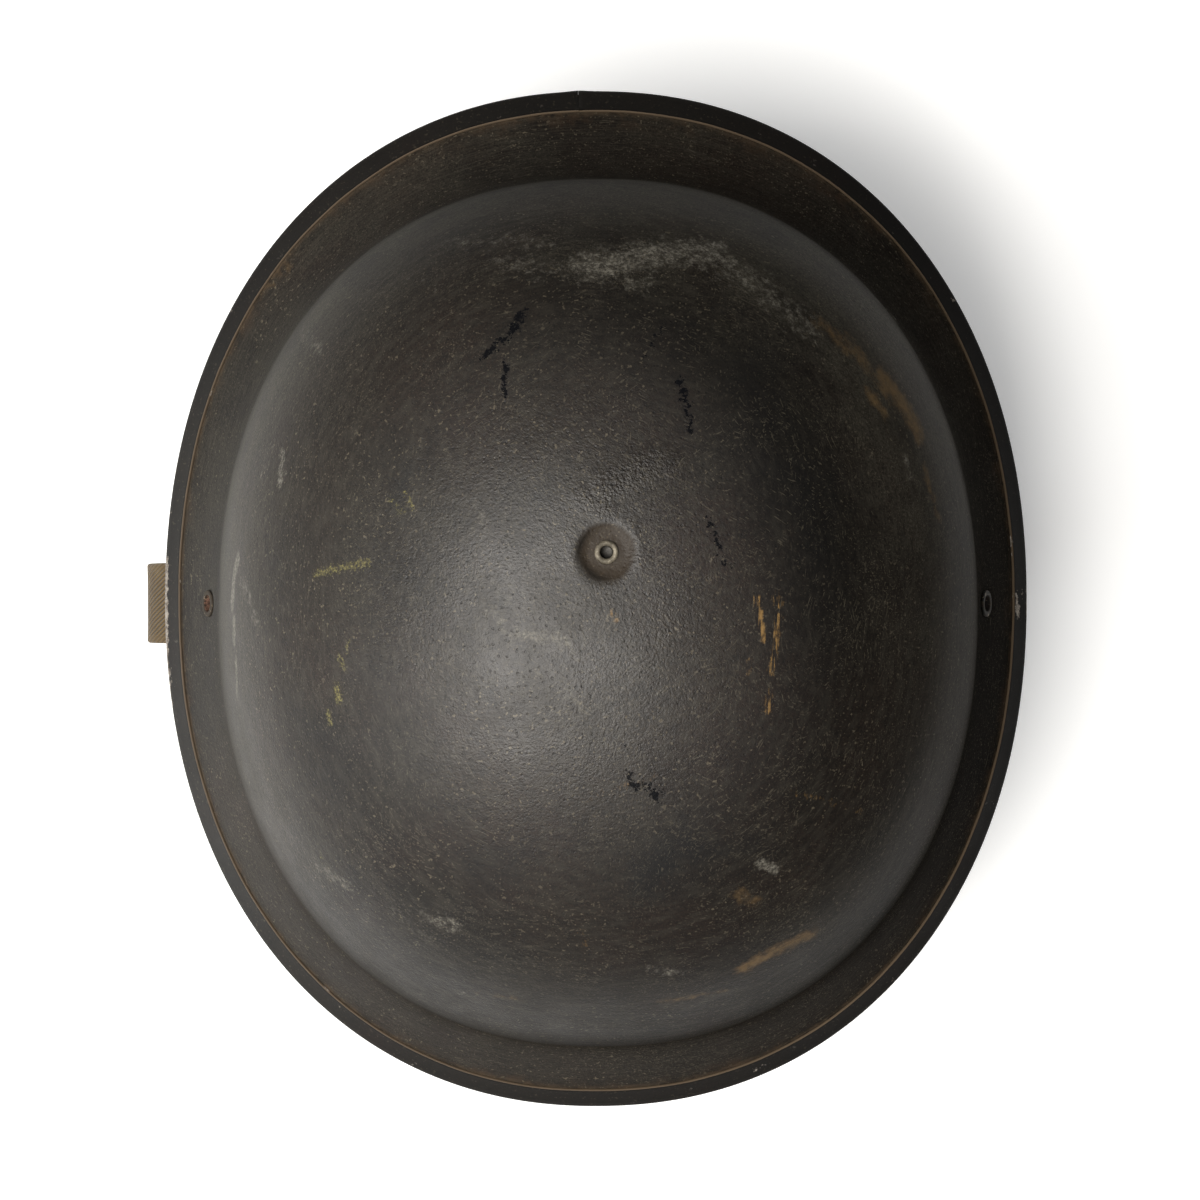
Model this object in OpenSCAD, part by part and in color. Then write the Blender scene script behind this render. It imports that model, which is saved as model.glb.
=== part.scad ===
// Steel turtle helmet: a pressed bowl that flares into a brim, a folded rim band, a head
// harness held by one snap at the crown, and a webbing chinstrap hung from two lugs.
// The origin is at the centre of the plane in which the rim's lowest points lie.
// The visor side faces -Y, and the wearer's left is +X.

/* [Head] */
// Length of the head that the sweatband goes round
head_length = 196; // [192:1:200]
// Width of that head
head_width = 156; // [152:1:160]

/* [Bowl] */
// Thickness of the pressed steel
shell_t = 1.2; // [1.0:0.05:1.3]
// Height of the crown above the rim
crown_height = 140; // [136:1:146]
// Height at which the bowl turns out into the brim
brim_height = 34; // [32:1:37]
// Space between the head and the steel at each side
side_space = 29.6; // [28:0.2:32]
// Space between the forehead and the steel
front_space = 23.6; // [22:0.2:28]
// Space between the back of the head and the steel
rear_space = 26.6; // [24:0.2:30]
// Distance of the crown fastener in front of the rim's centre
crown_forward = 12; // [6:1:16]
// Spread of the bowl's wall where it turns out into the brim
wall_spread = 3; // [2:0.2:4]
// Height over which that spread fades
spread_fade = 20; // [17:1:26]
// How full the dome is, 2 being a plain ellipse
fullness = 2.2; // [2.1:0.05:2.4]
// How square the bowl is in plan, 2 being a plain ellipse
bowl_squareness = 2.2; // [2.05:0.05:2.4]

/* [Brim] */
// Width of the brim in plan at the sides
brim_side = 19.5; // [18.5:0.1:23]
// Width of the visor in plan
brim_front = 29.2; // [26:0.2:34]
// Width of the neck guard in plan
brim_rear = 22.2; // [20:0.2:28]
// Rise of the rim at the front
front_rise = 8; // [4:0.5:10]
// Rise of the rim at the rear
rear_rise = 4; // [2:0.5:8]
// How square the rim is in plan, 2 being a plain ellipse
rim_squareness = 2.15; // [2.05:0.05:2.3]

/* [Rim band] */
// Width of the band on each face of the brim
band_w = 6.5; // [5:0.5:8]
// Thickness of the band's steel
band_t = 0.7; // [0.5:0.05:0.9]
// Distance of the band's butt joint from the middle of the visor
band_joint_x = 5.7; // [4:0.1:9]

/* [Crown fastener] */
// Depth of the dimple that the fastener sits in
dimple_depth = 0.9; // [0.6:0.1:1.2]
// Radius of the dimple
dimple_r = 7.5; // [7.2:0.1:9]
// Outer diameter of the tubular head
stud_d = 6; // [5.6:0.1:7]
// Bore of the tubular head
stud_bore = 3.2; // [2.8:0.1:3.6]
// Height of the head above the dimple's floor
stud_proud = 1; // [0.6:0.1:2]
// Diameter of the snap head at the lower end
snap_d = 5; // [4.6:0.1:5.4]

/* [Lugs] */
// Height of the lug rivets above the rim
lug_height = 20; // [18.5:0.5:21.5]
// Distance of the lugs behind the rim's centre
lug_back = 1; // [0:0.5:3]
// Diameter of the rivet's barrel
rivet_d = 6.2; // [5.8:0.1:6.6]
// Bore of the tubular rivet
rivet_bore = 4.8; // [4.4:0.1:5]
// Thickness of the lug's steel
lug_t = 1.2; // [1:0.05:1.4]
// Width of the lug's loop
loop_w = 6; // [5:0.2:6.6]

/* [Chinstrap] */
// Width of the webbing
strap_w = 25; // [22:0.5:26]
// Thickness of the webbing
strap_t = 2; // [1.6:0.1:2.2]
// Diameter of the bail's wire
wire_d = 2.4; // [2.2:0.1:2.6]
// Depth of the hanging loop below the rim
strap_drop = 118; // [112:1:124]
// Distance by which the loop stands out past the rim on the left
strap_bulge = 10.4; // [8:0.2:14]
// Length of the webbing that is turned back and sewn on the left
sewn_length = 28; // [24:1:32]
// Travel of the slider to each side of its middle place
slider_travel = 12; // [6:1:14]

/* [Harness] */
// Thickness of the leather sweatband
leather_t = 1.9; // [1.5:0.1:2.2]
// Thickness of the fibre hoop
hoop_t = 1.6; // [1.4:0.1:2]
// Height of the hoop's lower edge above the rim
hoop_low = 24; // [22:0.5:26]
// Width of the hoop's strip
hoop_h = 28; // [27:0.5:31]
// Width of the crossed straps
cross_w = 24; // [20:0.5:26]
// Thickness of the crossed straps
cross_t = 1.2; // [1:0.05:1.4]
// Thickness of the crown pad
pad_t = 8; // [6:0.5:9]
// Width of the crown pad's arms
pad_w = 34; // [28:1:38]
// Width of a rubber buffer
buffer_w = 22; // [18:0.5:24]
// Thickness of a rubber buffer
buffer_t = 15; // [12:0.5:16]
// Height of a rubber buffer
buffer_h = 20; // [18:0.5:21]

/* [Hidden] */
$fn = 64;

// Clearances
seat_gap = 0.05;       // between parts that are pressed or clipped together
turn_gap = 0.08;       // round a pin that a part turns on
side_gap = 0.1;        // beside a part that turns
soft_gap = 0.3;        // beside curved or soft parts
joint_gap = 0.3;       // in the rim band's butt joint
sleeve_gap = 0.65;     // inside the slider

// Bowl and rim, as outer half sizes and centres
bowl_w = head_width/2 + side_space + shell_t;
bowl_l = (head_length + front_space + rear_space)/2 + shell_t;
bowl_y = (brim_front - brim_rear)/2;
head_y = bowl_y - (rear_space - front_space)/2;
crown_y = -crown_forward;
rim_w = bowl_w + brim_side;
rim_l = bowl_l + (brim_front + brim_rear)/2;

// The fold of the rim band goes round the middle of the steel's edge
fold_in = shell_t/2 + seat_gap;
fold_out = fold_in + band_t;
foot_slope = wall_spread/spread_fade;
rim_slope = atan2(brim_height, 2*brim_side - foot_slope*brim_height);
edge_in = fold_out - shell_t/2*sin(rim_slope);
edge_z = fold_out + shell_t/2*cos(rim_slope);
edge_w = rim_w - edge_in;
edge_l = rim_l - edge_in;

// Mesh of the bowl and the band
around = 72;
dome_step = 7;
brim_rings = 6;
fold_steps = 5;

// Crown fastener, from the dimple's floor down
lip_fall = 0.12;
stud_hole_d = 5.4;
stud_shank_d = 5;
stud_top = crown_height - dimple_depth + stud_proud;
crown_under = crown_height - dimple_depth - shell_t;
washer_d = 14;
washer_t = 1;
collar_d = 9;
collar_t = 1.6;
neck_d = 3.8;
neck_l = 3.7;
snap_l = 2.7;
snap_edge = 1;
edge_round = 0.3;
collar_top = crown_under - washer_t;
collar_low = collar_top - collar_t;
snap_top = collar_low - neck_l;
snap_low = snap_top - snap_l;

// Lug rivet: its place on the brim and the lean of the wall there
lug_share = (brim_height - lug_height)/(brim_height - edge_z);
lug_drop = brim_height - edge_z;
lug_curl = edge_w - bowl_w - foot_slope*lug_drop;
lug_x = bowl_w + foot_slope*lug_drop*lug_share + lug_curl*lug_share*lug_share;
lug_lean = atan2(lug_drop, foot_slope*lug_drop + 2*lug_curl*lug_share);
flange_d = rivet_d + 1.6;
flange_t = 0.6;
seat_depth = 0.25;
clinch_d = rivet_d + 2.2;
clinch_t = 0.5;
lug_r = 6.5;
lug_washer_t = 0.8;
curve_gap = 0.3;
lug_washer_top = -shell_t - curve_gap;
lug_top = lug_washer_top - lug_washer_t - side_gap;
clinch_top = lug_top - lug_t - side_gap;
pivot_depth = lug_top - lug_t/2;
pivot_x = lug_x + pivot_depth*sin(lug_lean);
pivot_z = lug_height + pivot_depth*cos(lug_lean);

// Bail: a wire rectangle that hangs from the lug's loop
bail_in = 0.75;
bail_down = 9.4;
bail_bend_in = 1.4;
bail_window_w = strap_w + 2*soft_gap + 2*bail_bend_in;
bail_window_h = 8;
bail_bend = bail_bend_in + wire_d/2;
bail_x = pivot_x - bail_in;
bail_top_z = pivot_z - bail_down;
bail_h = bail_window_h + wire_d;
bail_low_z = bail_top_z - bail_h;

// Room inside the lug's loop, outward of the bail's bar, inward, below and above
loop_out = 1.6;
loop_inward = 0.55;
loop_below = 0.35;
loop_above = 0.6;
loop_bend = 1.3;

// Chinstrap: layers beside each other, and their path round the bails
layer = strap_t/2 + side_gap;
wrap_r = wire_d/2 + side_gap + strap_t/2;
merge = 8;
left_lean = 28;
slider_h = 12;
slider_t = 1;
slider_mid = merge + 15 + slider_travel + slider_h/2;
tail_run = slider_mid + slider_travel + slider_h/2 + 3;
tail_lean = 14;
tail_bend_l = 8;
tail_l = 13;
outer_run = tail_run + 12;
bulge_low = 54;
chin_x = 6;
tip_l = 9;
tip_t = 0.6;

// Harness
hoop_w = head_width/2 + leather_t + side_gap;
hoop_l = head_length/2 + leather_t + side_gap;
hoop_top = hoop_low + hoop_h;
band_top = hoop_top + 3;
lip_top = hoop_low + 3.5;
arch_top = crown_height - 11;
arch_spring = hoop_top;
arch_squareness = 2.1;
arch_steps = 48;
strap_foot = hoop_low + 6;
cross_rivets = [hoop_low + 12, hoop_low + 21];
cross_rivet_d = 3;
inner_head_d = cross_rivet_d + 2;
outer_head_d = cross_rivet_d + 3.4;
head_sink = 0.25;
head_t = 0.65;
dome_t = 1;
pad_reach = [50, 130];
socket_d = 15;
socket_h = 4.9;
eyelet_d = 8;
socket_bore = 5.6;
backplate_t = 0.8;
backplate_d = 14;
spring_wire = 1.2;
spring_z = arch_top + 3.3;
spring_leg_y = snap_d/2 + seat_gap + spring_wire/2;
spring_bend_x = 2.4;
spring_reach = 5;
spring_back = spring_bend_x + spring_leg_y + spring_wire/2;
buffer_low = hoop_low + 5;
buffer_angles = [30, 60, 120, 150, 210, 240, 300, 330];
clip_t = 1;
clip_w = 8;
clip_reach = 6;
clip_h = 14;

// Colours
paint = [0.24, 0.22, 0.19];
worn_band = [0.30, 0.27, 0.23];
dull_steel = [0.42, 0.41, 0.38];
old_brass = [0.47, 0.40, 0.27];
khaki = [0.51, 0.45, 0.37];
brown_leather = [0.36, 0.22, 0.13];
fibre = [0.20, 0.15, 0.11];
felt = [0.33, 0.31, 0.26];
rubber = [0.10, 0.10, 0.10];

function mix(a, b, f) = a + (b - a)*f;
function unit(v) = v/norm(v);

// Point at angle a on a superellipse with the half sizes w and l
function oval(a, w, l, n) =
    let (r = pow(pow(abs(cos(a))/w, n) + pow(abs(sin(a))/l, n), -1/n))
    [r*cos(a), r*sin(a)];

// Outer face of the dome, with t from 0 at the crown to 90 at the brim
function dome_point(t, a) =
    let (
        out = pow(sin(t), 2/fullness),
        up = pow(cos(t), 2/fullness),
        z = mix(brim_height, crown_height, up),
        wall = oval(a, bowl_w - wall_spread, bowl_l - wall_spread, bowl_squareness),
        p = out*(wall + wall_spread*exp((brim_height - z)/spread_fade)*unit(wall))
    )
    [p.x, p.y + mix(crown_y, bowl_y, out), z];

// Height of the steel's edge, which lifts at the front and the rear
function edge_height(a) = edge_z + (sin(a) < 0 ? front_rise : rear_rise)*sin(a)*sin(a);

// Outer face of the brim, with v from 0 at the bowl to 1 at the edge
function brim_point(v, a) =
    let (
        wall = oval(a, bowl_w - wall_spread, bowl_l - wall_spread, bowl_squareness),
        foot = wall + wall_spread*unit(wall) + [0, bowl_y],
        edge = oval(a, edge_w, edge_l, rim_squareness),
        start = foot_slope*(brim_height - edge_height(a))/norm(edge - foot),
        p = mix(foot, edge, mix(v*v, v, start))
    )
    [p.x, p.y, mix(brim_height, edge_height(a), v)];

// The whole outer face, with s from 0 at the crown over 1 at the brim to 2 at the edge
function skin(s, a) = s < 1 ? dome_point(90*s, a) : brim_point(s - 1, a);
function skin_normal(s, a) =
    unit(cross(skin(s, a + 1) - skin(s, a - 1), skin(s - 0.005, a) - skin(s + 0.005, a)));

// Place of the band's upper edge between the bowl and the brim's edge
function band_share(a) =
    1 - band_w/norm((brim_point(1, a) - brim_point(0.98, a))/0.02);

// Crown rings lie in the dimple: a floor and a lip
function crown_ring(r, z) = [for (i = [0:around - 1])
    [r*cos(360*i/around), crown_y + r*sin(360*i/around), z]];
function skin_ring(s, depth) = [for (i = [0:around - 1])
    let (a = 360*i/around)
    skin(s, a) - depth*skin_normal(s, a)];
function brim_ring(share, depth) = [for (i = [0:around - 1])
    let (a = 360*i/around, s = 1 + share*band_share(a))
    skin(s, a) - depth*skin_normal(s, a)];
function bowl_rings(depth) = concat(
    [crown_ring(1.6, crown_height - dimple_depth - depth)],
    [crown_ring(dimple_r - 1.2, crown_height - dimple_depth - depth)],
    [crown_ring(dimple_r, crown_height - lip_fall - depth)],
    [for (t = [2*dome_step:dome_step:89]) skin_ring(t/90, depth)],
    [skin_ring(1, depth)],
    [for (k = [1:brim_rings]) brim_ring(k/brim_rings, depth)],
    [skin_ring(2, depth)]
);

function reversed(list) = [for (i = [len(list) - 1:-1:0]) list[i]];
function joined(lists) = [for (list = lists) for (item = list) item];

// Triangles of a net whose rows close on themselves, and whose columns do if closed is true
function net_faces(rows, columns, closed) = [
    for (k = [0:rows - 1]) for (j = [0:columns - (closed ? 1 : 2)])
    let (
        next_row = (k + 1) % rows,
        next_column = (j + 1) % columns,
        a = k*columns + j,
        b = k*columns + next_column,
        c = next_row*columns + next_column,
        d = next_row*columns + j
    )
    each [[a, b, c], [a, c, d]]
];

// End faces of an open net whose row k lies opposite to row rows - 1 - k
function net_caps(rows, columns) = [
    for (k = [0:rows/2 - 2]) for (end = [0, columns - 1])
    let (
        a = k*columns + end,
        b = (k + 1)*columns + end,
        c = (rows - 2 - k)*columns + end,
        d = (rows - 1 - k)*columns + end
    )
    each (end == 0 ? [[a, b, c], [a, c, d]] : [[a, c, b], [a, d, c]])
];

// Curves for bent strips
function bezier(p, q, r, s, f) =
    p*pow(1 - f, 3) + 3*q*f*pow(1 - f, 2) + 3*r*f*f*(1 - f) + s*pow(f, 3);
function curve(p, q, r, s, steps) = [for (i = [1:steps]) bezier(p, q, r, s, i/steps)];
function corner(p, q, r, f) = p*pow(1 - f, 2) + 2*q*f*(1 - f) + r*f*f;
function bent(path, d) = concat(
    [path[0]],
    [for (i = [1:len(path) - 2]) for (f = [0:0.25:1])
        corner(path[i] + d*unit(path[i - 1] - path[i]), path[i],
            path[i] + d*unit(path[i + 1] - path[i]), f)],
    [path[len(path) - 1]]
);

// Outline of a strip of thickness t whose middle follows a path
function strip_outline(path, t) =
    let (
        last = len(path) - 1,
        way = [for (i = [0:last - 1]) unit(path[i + 1] - path[i])],
        side = [for (i = [0:last])
            let (
                before = way[max(i - 1, 0)],
                after = way[min(i, last - 1)],
                m = unit(before + after)
            )
            [-m.y, m.x]*t/2/(m*before)]
    )
    concat([for (i = [0:last]) path[i] + side[i]], [for (i = [last:-1:0]) path[i] - side[i]]);

// A strip seen from the front, centred on the lugs, and one seen from the left
module strip_across(path, t, w) {
    translate([0, lug_back, 0]) rotate([90, 0, 0])
        linear_extrude(w, center = true) polygon(strip_outline(path, t));
}
module strip_along(path, t, w) {
    rotate([90, 0, 90]) linear_extrude(w, center = true) polygon(strip_outline(path, t));
}

// Frames: a lug's rivet with +Z outward and +X down the wall, and a buffer's place
module at_lug() {
    translate([lug_x, lug_back, lug_height]) rotate([0, lug_lean, 0]) children();
}
module on_right() {
    mirror([1, 0, 0]) children();
}

// Shell and rim

module helmet_shell() {
    outer = bowl_rings(0);
    inner = bowl_rings(shell_t);
    rows = concat(outer, reversed(inner));
    color(paint) difference() {
        polyhedron(joined(rows), net_faces(len(rows), around, true));
        translate([0, crown_y, crown_under - 1]) cylinder(d = stud_hole_d, h = shell_t + 2);
        lug_cut();
        on_right() lug_cut();
    }
}

module lug_cut() {
    at_lug() {
        translate([0, 0, -shell_t - 2]) cylinder(d = rivet_d + 2*side_gap, h = shell_t + 4);
        translate([0, 0, -seat_depth]) cylinder(d = flange_d + 2*side_gap, h = 2);
    }
}

// One section of the band: down the outer face, round the edge, up the inner face and back
function band_section(a) =
    let (
        upper = skin(1 + band_share(a), a),
        upper_n = skin_normal(1 + band_share(a), a),
        lower = skin(2, a),
        lower_n = skin_normal(2, a),
        run = lower - upper,
        down = unit(run - (run*lower_n)*lower_n),
        middle = lower - lower_n*shell_t/2,
        turns = [for (i = [1:fold_steps]) 180*i/(fold_steps + 1)],
        far = seat_gap + band_t,
        outer = concat(
            [upper + upper_n*far, lower + lower_n*far],
            [for (t = turns) middle + fold_out*(lower_n*cos(t) + down*sin(t))],
            [lower - lower_n*(shell_t + far), upper - upper_n*(shell_t + far)]
        ),
        inner = concat(
            [upper + upper_n*seat_gap, lower + lower_n*seat_gap],
            [for (t = turns) middle + fold_in*(lower_n*cos(t) + down*sin(t))],
            [lower - lower_n*(shell_t + seat_gap), upper - upper_n*(shell_t + seat_gap)]
        )
    )
    concat(outer, reversed(inner));

module rim_band() {
    step = 360/around;
    joint_angle = 270 + atan2(band_joint_x, rim_l);
    first = ceil(joint_angle/step);
    share = joint_angle/step - (first - 1);
    half_gap = joint_gap/2/(rim_l*PI/180*step)*step;
    before = band_section((first - 1)*step);
    after = band_section(first*step);
    sections = concat(
        [mix(before, after, share + half_gap)],
        [for (i = [0:around - 1]) band_section((first + i)*step)],
        [mix(before, after, share - half_gap)]
    );
    rows = [for (k = [0:len(before) - 1]) [for (section = sections) section[k]]];
    color(worn_band) polyhedron(joined(rows), concat(
        net_faces(len(rows), len(sections), false), net_caps(len(rows), len(sections))));
}

// Crown fastener

module crown_stud() {
    color(dull_steel) translate([0, crown_y, 0]) difference() {
        rotate_extrude() polygon([
            [0, snap_low],
            [snap_d/2 - snap_edge, snap_low],
            [snap_d/2, snap_low + snap_edge],
            [snap_d/2, snap_top - 2*edge_round],
            [neck_d/2, snap_top],
            [neck_d/2, collar_low],
            [collar_d/2, collar_low],
            [collar_d/2, collar_top],
            [stud_shank_d/2, collar_top],
            [stud_shank_d/2, crown_height - dimple_depth],
            [stud_d/2, crown_height - dimple_depth],
            [stud_d/2, stud_top - edge_round],
            [stud_d/2 - edge_round, stud_top],
            [0, stud_top]
        ]);
        translate([0, 0, collar_top]) cylinder(d = stud_bore, h = stud_top - collar_top + 1);
    }
}

module crown_washer() {
    color(dull_steel) translate([0, crown_y, crown_under - washer_t]) difference() {
        cylinder(d = washer_d, h = washer_t);
        translate([0, 0, -1]) cylinder(d = stud_shank_d + 2*seat_gap, h = washer_t + 2);
    }
}

// Lugs and their rivets

module lug_rivet_left() {
    color(old_brass) at_lug() difference() {
        rotate_extrude() polygon([
            [0, clinch_top - clinch_t],
            [clinch_d/2 - edge_round, clinch_top - clinch_t],
            [clinch_d/2, clinch_top - clinch_t + edge_round],
            [clinch_d/2, clinch_top],
            [rivet_d/2, clinch_top],
            [rivet_d/2, -seat_depth],
            [flange_d/2, -seat_depth],
            [flange_d/2, flange_t - seat_depth - edge_round],
            [flange_d/2 - edge_round, flange_t - seat_depth],
            [0, flange_t - seat_depth]
        ]);
        translate([0, 0, clinch_top - clinch_t - 1]) cylinder(d = rivet_bore, h = 8);
    }
}

module lug_rivet_right() {
    on_right() lug_rivet_left();
}

module lug_washer_left() {
    color(dull_steel) at_lug() translate([0, 0, lug_washer_top - lug_washer_t]) difference() {
        cylinder(r = lug_r, h = lug_washer_t);
        translate([0, 0, -1]) cylinder(d = rivet_d + 2*seat_gap, h = lug_washer_t + 2);
    }
}

module lug_washer_right() {
    on_right() lug_washer_left();
}

// The lug: a round plate on the rivet, with a strip below it that closes into a loop
module chin_lug_left() {
    down = [cos(lug_lean), -sin(lug_lean)];
    pivot = [pivot_x, pivot_z];
    outer_x = bail_x + wire_d/2 + loop_out + lug_t/2;
    inner_x = bail_x - wire_d/2 - loop_inward - lug_t/2;
    low_z = bail_top_z - wire_d/2 - loop_below - lug_t/2;
    high_z = bail_top_z + wire_d/2 + loop_above + lug_t/2;
    path = bent([
        pivot + lug_r/2*down,
        pivot + (outer_x - pivot_x)/cos(lug_lean)*down,
        [outer_x, low_z],
        [inner_x, low_z],
        [inner_x, high_z],
        [outer_x - lug_t/2 - side_gap, high_z]
    ], loop_bend);
    color(dull_steel) difference() {
        union() {
            at_lug() translate([0, 0, lug_top - lug_t]) cylinder(r = lug_r, h = lug_t);
            strip_across(path, lug_t, loop_w);
        }
        at_lug() translate([0, 0, clinch_top - 2]) cylinder(d = rivet_d + 2*turn_gap, h = 6);
    }
}

module chin_lug_right() {
    on_right() chin_lug_left();
}

// Chinstrap

module bail_left() {
    half_w = (bail_window_w + wire_d)/2;
    half_h = bail_h/2;
    color(dull_steel) translate([bail_x, lug_back, bail_top_z - half_h]) {
        for (side = [-1, 1]) {
            translate([0, 0, side*half_h]) rotate([90, 0, 0])
                cylinder(d = wire_d, h = 2*(half_w - bail_bend), center = true);
            translate([0, side*half_w, 0])
                cylinder(d = wire_d, h = 2*(half_h - bail_bend), center = true);
        }
        for (turn = [0:3]) {
            y = (turn == 0 || turn == 3 ? 1 : -1)*(half_w - bail_bend);
            z = (turn < 2 ? 1 : -1)*(half_h - bail_bend);
            translate([0, y, z]) rotate([90, 0, 90]) rotate([0, 0, 90*turn])
                rotate_extrude(angle = 90) translate([bail_bend, 0]) circle(d = wire_d);
        }
    }
}

module bail_right() {
    on_right() bail_left();
}

// Point beside a bail's lower bar, u down the strap and w outward; side is 1 on the left
function at_bail(side, lean, u, w) =
    [side*(bail_x + u*sin(lean) + w*cos(lean)), bail_low_z - u*cos(lean) + w*sin(lean)];

// The strap's middle line over a bail's bar, from the outer layer to the inner one
function over_bar(side, lean) =
    let (
        outer = [for (i = [0:6])
            bezier([merge, layer], [merge*0.6, layer], [merge*0.4, wrap_r], [0, wrap_r], i/6)],
        turn = [for (i = [1:11]) [-wrap_r*sin(15*i), wrap_r*cos(15*i)]],
        inner = [for (p = reversed(outer)) [p.x, -p.y]]
    )
    [for (p = concat(outer, turn, inner)) at_bail(side, lean, p.x, p.y)];

// The free tail leaves the inner layer, bends inward and ends straight
tail_way = [sin(tail_lean), -cos(tail_lean)];
tail_bend = at_bail(-1, 0, tail_run, -layer);
tail_knee = tail_bend + tail_bend_l*[sin(tail_lean/2), -cos(tail_lean/2)];
tail_tip = tail_knee + tail_l*tail_way;

module chinstrap_webbing() {
    chin = [chin_x, -strap_drop];
    bulge = [rim_w + strap_bulge, -bulge_low];
    right_low = at_bail(-1, 0, outer_run, layer);
    left_low = at_bail(1, left_lean, sewn_length, layer);
    left_way = [sin(left_lean), -cos(left_lean)];
    path = concat(
        [tail_tip],
        reversed(curve(tail_bend, tail_bend - [0, 3], tail_knee - 3*tail_way, tail_knee, 4)),
        [tail_bend],
        reversed(over_bar(-1, 0)),
        [right_low],
        curve(right_low, right_low - [0, 28], chin - [60, 0], chin, 14),
        curve(chin, chin + [55, 0], bulge - [0, 38], bulge, 14),
        curve(bulge, bulge + [0, 12], left_low + 14*left_way, left_low, 8),
        over_bar(1, left_lean),
        [at_bail(1, left_lean, sewn_length, -layer)]
    );
    color(khaki) strip_across(path, strap_t, strap_w);
}

// Folded metal end on the strap's free tail
module strap_tip() {
    gap = strap_t + 2*seat_gap;
    mouth = tail_tip - tail_way*(tip_l - tip_t);
    side = [-tail_way.y, tail_way.x]*(gap + tip_t)/2;
    foot = tail_tip + tail_way*(soft_gap + tip_t/2);
    path = [mouth + side, foot + side, foot - side, mouth - side];
    color(old_brass) strip_across(bent(path, 0.5), tip_t, strap_w + 1.5);
}

// Sheet sleeve that slides on the doubled strap
module strap_slider() {
    inside_x = 2*(layer + strap_t/2) + 2*sleeve_gap;
    inside_y = strap_w + 3;
    color(old_brass) translate([-bail_x, lug_back, bail_low_z - slider_mid - slider_h/2])
        linear_extrude(slider_h) difference() {
            square([inside_x + 2*slider_t, inside_y + 2*slider_t], center = true);
            square([inside_x, inside_y], center = true);
        }
}

// Harness

function hoop_outline(out) = [for (i = [0:around - 1])
    oval(360*i/around, hoop_w + out, hoop_l + out, bowl_squareness) + [0, head_y]];
// Half width of the hoop's inner face where the crosswise strap meets it
crown_off = crown_y - head_y;
hoop_side = hoop_w*pow(1 - pow(abs(crown_off)/hoop_l, bowl_squareness), 1/bowl_squareness);

// The four places where straps are riveted, with +X outward from the hoop's inner face
module at_strap_ends() {
    translate([0, head_y - hoop_l, 0]) rotate([0, 0, -90]) children();
    translate([0, head_y + hoop_l, 0]) rotate([0, 0, 90]) children();
    translate([hoop_side, crown_y, 0]) children();
    translate([-hoop_side, crown_y, 0]) rotate([0, 0, 180]) children();
}

module rivet_hole() {
    for (z = cross_rivets) translate([-2, 0, z]) rotate([0, 90, 0])
        cylinder(d = cross_rivet_d + 2*seat_gap, h = 8);
}

module liner_hoop() {
    color(fibre) difference() {
        translate([0, 0, hoop_low]) linear_extrude(hoop_h) difference() {
            polygon(hoop_outline(hoop_t));
            polygon(hoop_outline(0));
        }
        at_strap_ends() {
            rivet_hole();
            for (z = cross_rivets) translate([-2, 0, z]) rotate([0, 90, 0])
                cylinder(d = inner_head_d + 2*side_gap, h = 2 + head_sink + head_t);
        }
        for (a = buffer_angles) at_buffer(a)
            for (z = [-clip_h/2, clip_h/2]) translate([-4, -clip_w/2 - seat_gap, 0])
                translate([0, 0, z - clip_t/2 - seat_gap])
                    cube([8, clip_w + 2*seat_gap, clip_t + 2*seat_gap]);
    }
}

// Leather folded round the hoop's lower edge
module sweatband() {
    back = hoop_t + side_gap;
    fold = hoop_low - side_gap;
    outer = [
        [-side_gap - leather_t, band_top],
        [-side_gap - leather_t, fold - leather_t + 1],
        [-side_gap - leather_t + 0.8, fold - leather_t],
        [back + leather_t - 0.8, fold - leather_t],
        [back + leather_t, fold - leather_t + 1],
        [back + leather_t, lip_top]
    ];
    inner = [
        [-side_gap, band_top],
        [-side_gap, fold + 0.1],
        [-side_gap + 0.1, fold],
        [back - 0.1, fold],
        [back, fold + 0.1],
        [back, lip_top]
    ];
    section = concat(outer, reversed(inner));
    rows = [for (p = reversed(section)) [for (i = [0:around - 1])
        let (q = oval(360*i/around, hoop_w + p.x, hoop_l + p.x, bowl_squareness))
        [q.x, q.y + head_y, p.y]]];
    color(brown_leather) polyhedron(joined(rows), net_faces(len(rows), around, true));
}

// Arch of a strap from one leg over the crown to the other
function arch(from, to, fall, reach) = [for (t = [from:(to - from)/arch_steps:to])
    [(cos(t) > 0 ? reach[1] : -reach[0])*pow(abs(cos(t)), 2/arch_squareness),
        arch_spring + (arch_top - fall - arch_spring)*pow(sin(t), 2/arch_squareness)]];
function with_legs(path) = concat(
    [[path[0].x, strap_foot]], path, [[path[len(path) - 1].x, strap_foot]]);

// Fall of an arch at a distance r from its top
function arch_fall(r, reach) =
    (arch_top - arch_spring)*(1 - pow(1 - pow(r/reach, arch_squareness), 1/arch_squareness));

outside = hoop_t + side_gap + cross_t/2;
long_reach = [hoop_l - head_y + crown_y + outside, hoop_l + head_y - crown_y + outside];
wide_reach = hoop_w + outside + soft_gap;
wide_fall = cross_t + side_gap + arch_fall(cross_w/2, long_reach[0]);
wide_under = arch_top - wide_fall - cross_t;
backplate_top = wide_under - arch_fall(backplate_d/2, wide_reach) - side_gap;
pad_top = min(wide_under - arch_fall(pad_w/2, wide_reach) - side_gap, backplate_top - backplate_t);

module long_strip(path, t, w) {
    translate([0, crown_y, 0]) strip_along(path, t, w);
}
module wide_strip(path, t, w) {
    translate([0, crown_y - lug_back, 0]) strip_across(path, t, w);
}

module crown_hole() {
    translate([0, crown_y, arch_top - 6]) cylinder(d = eyelet_d + 2*seat_gap, h = 12);
}

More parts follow.
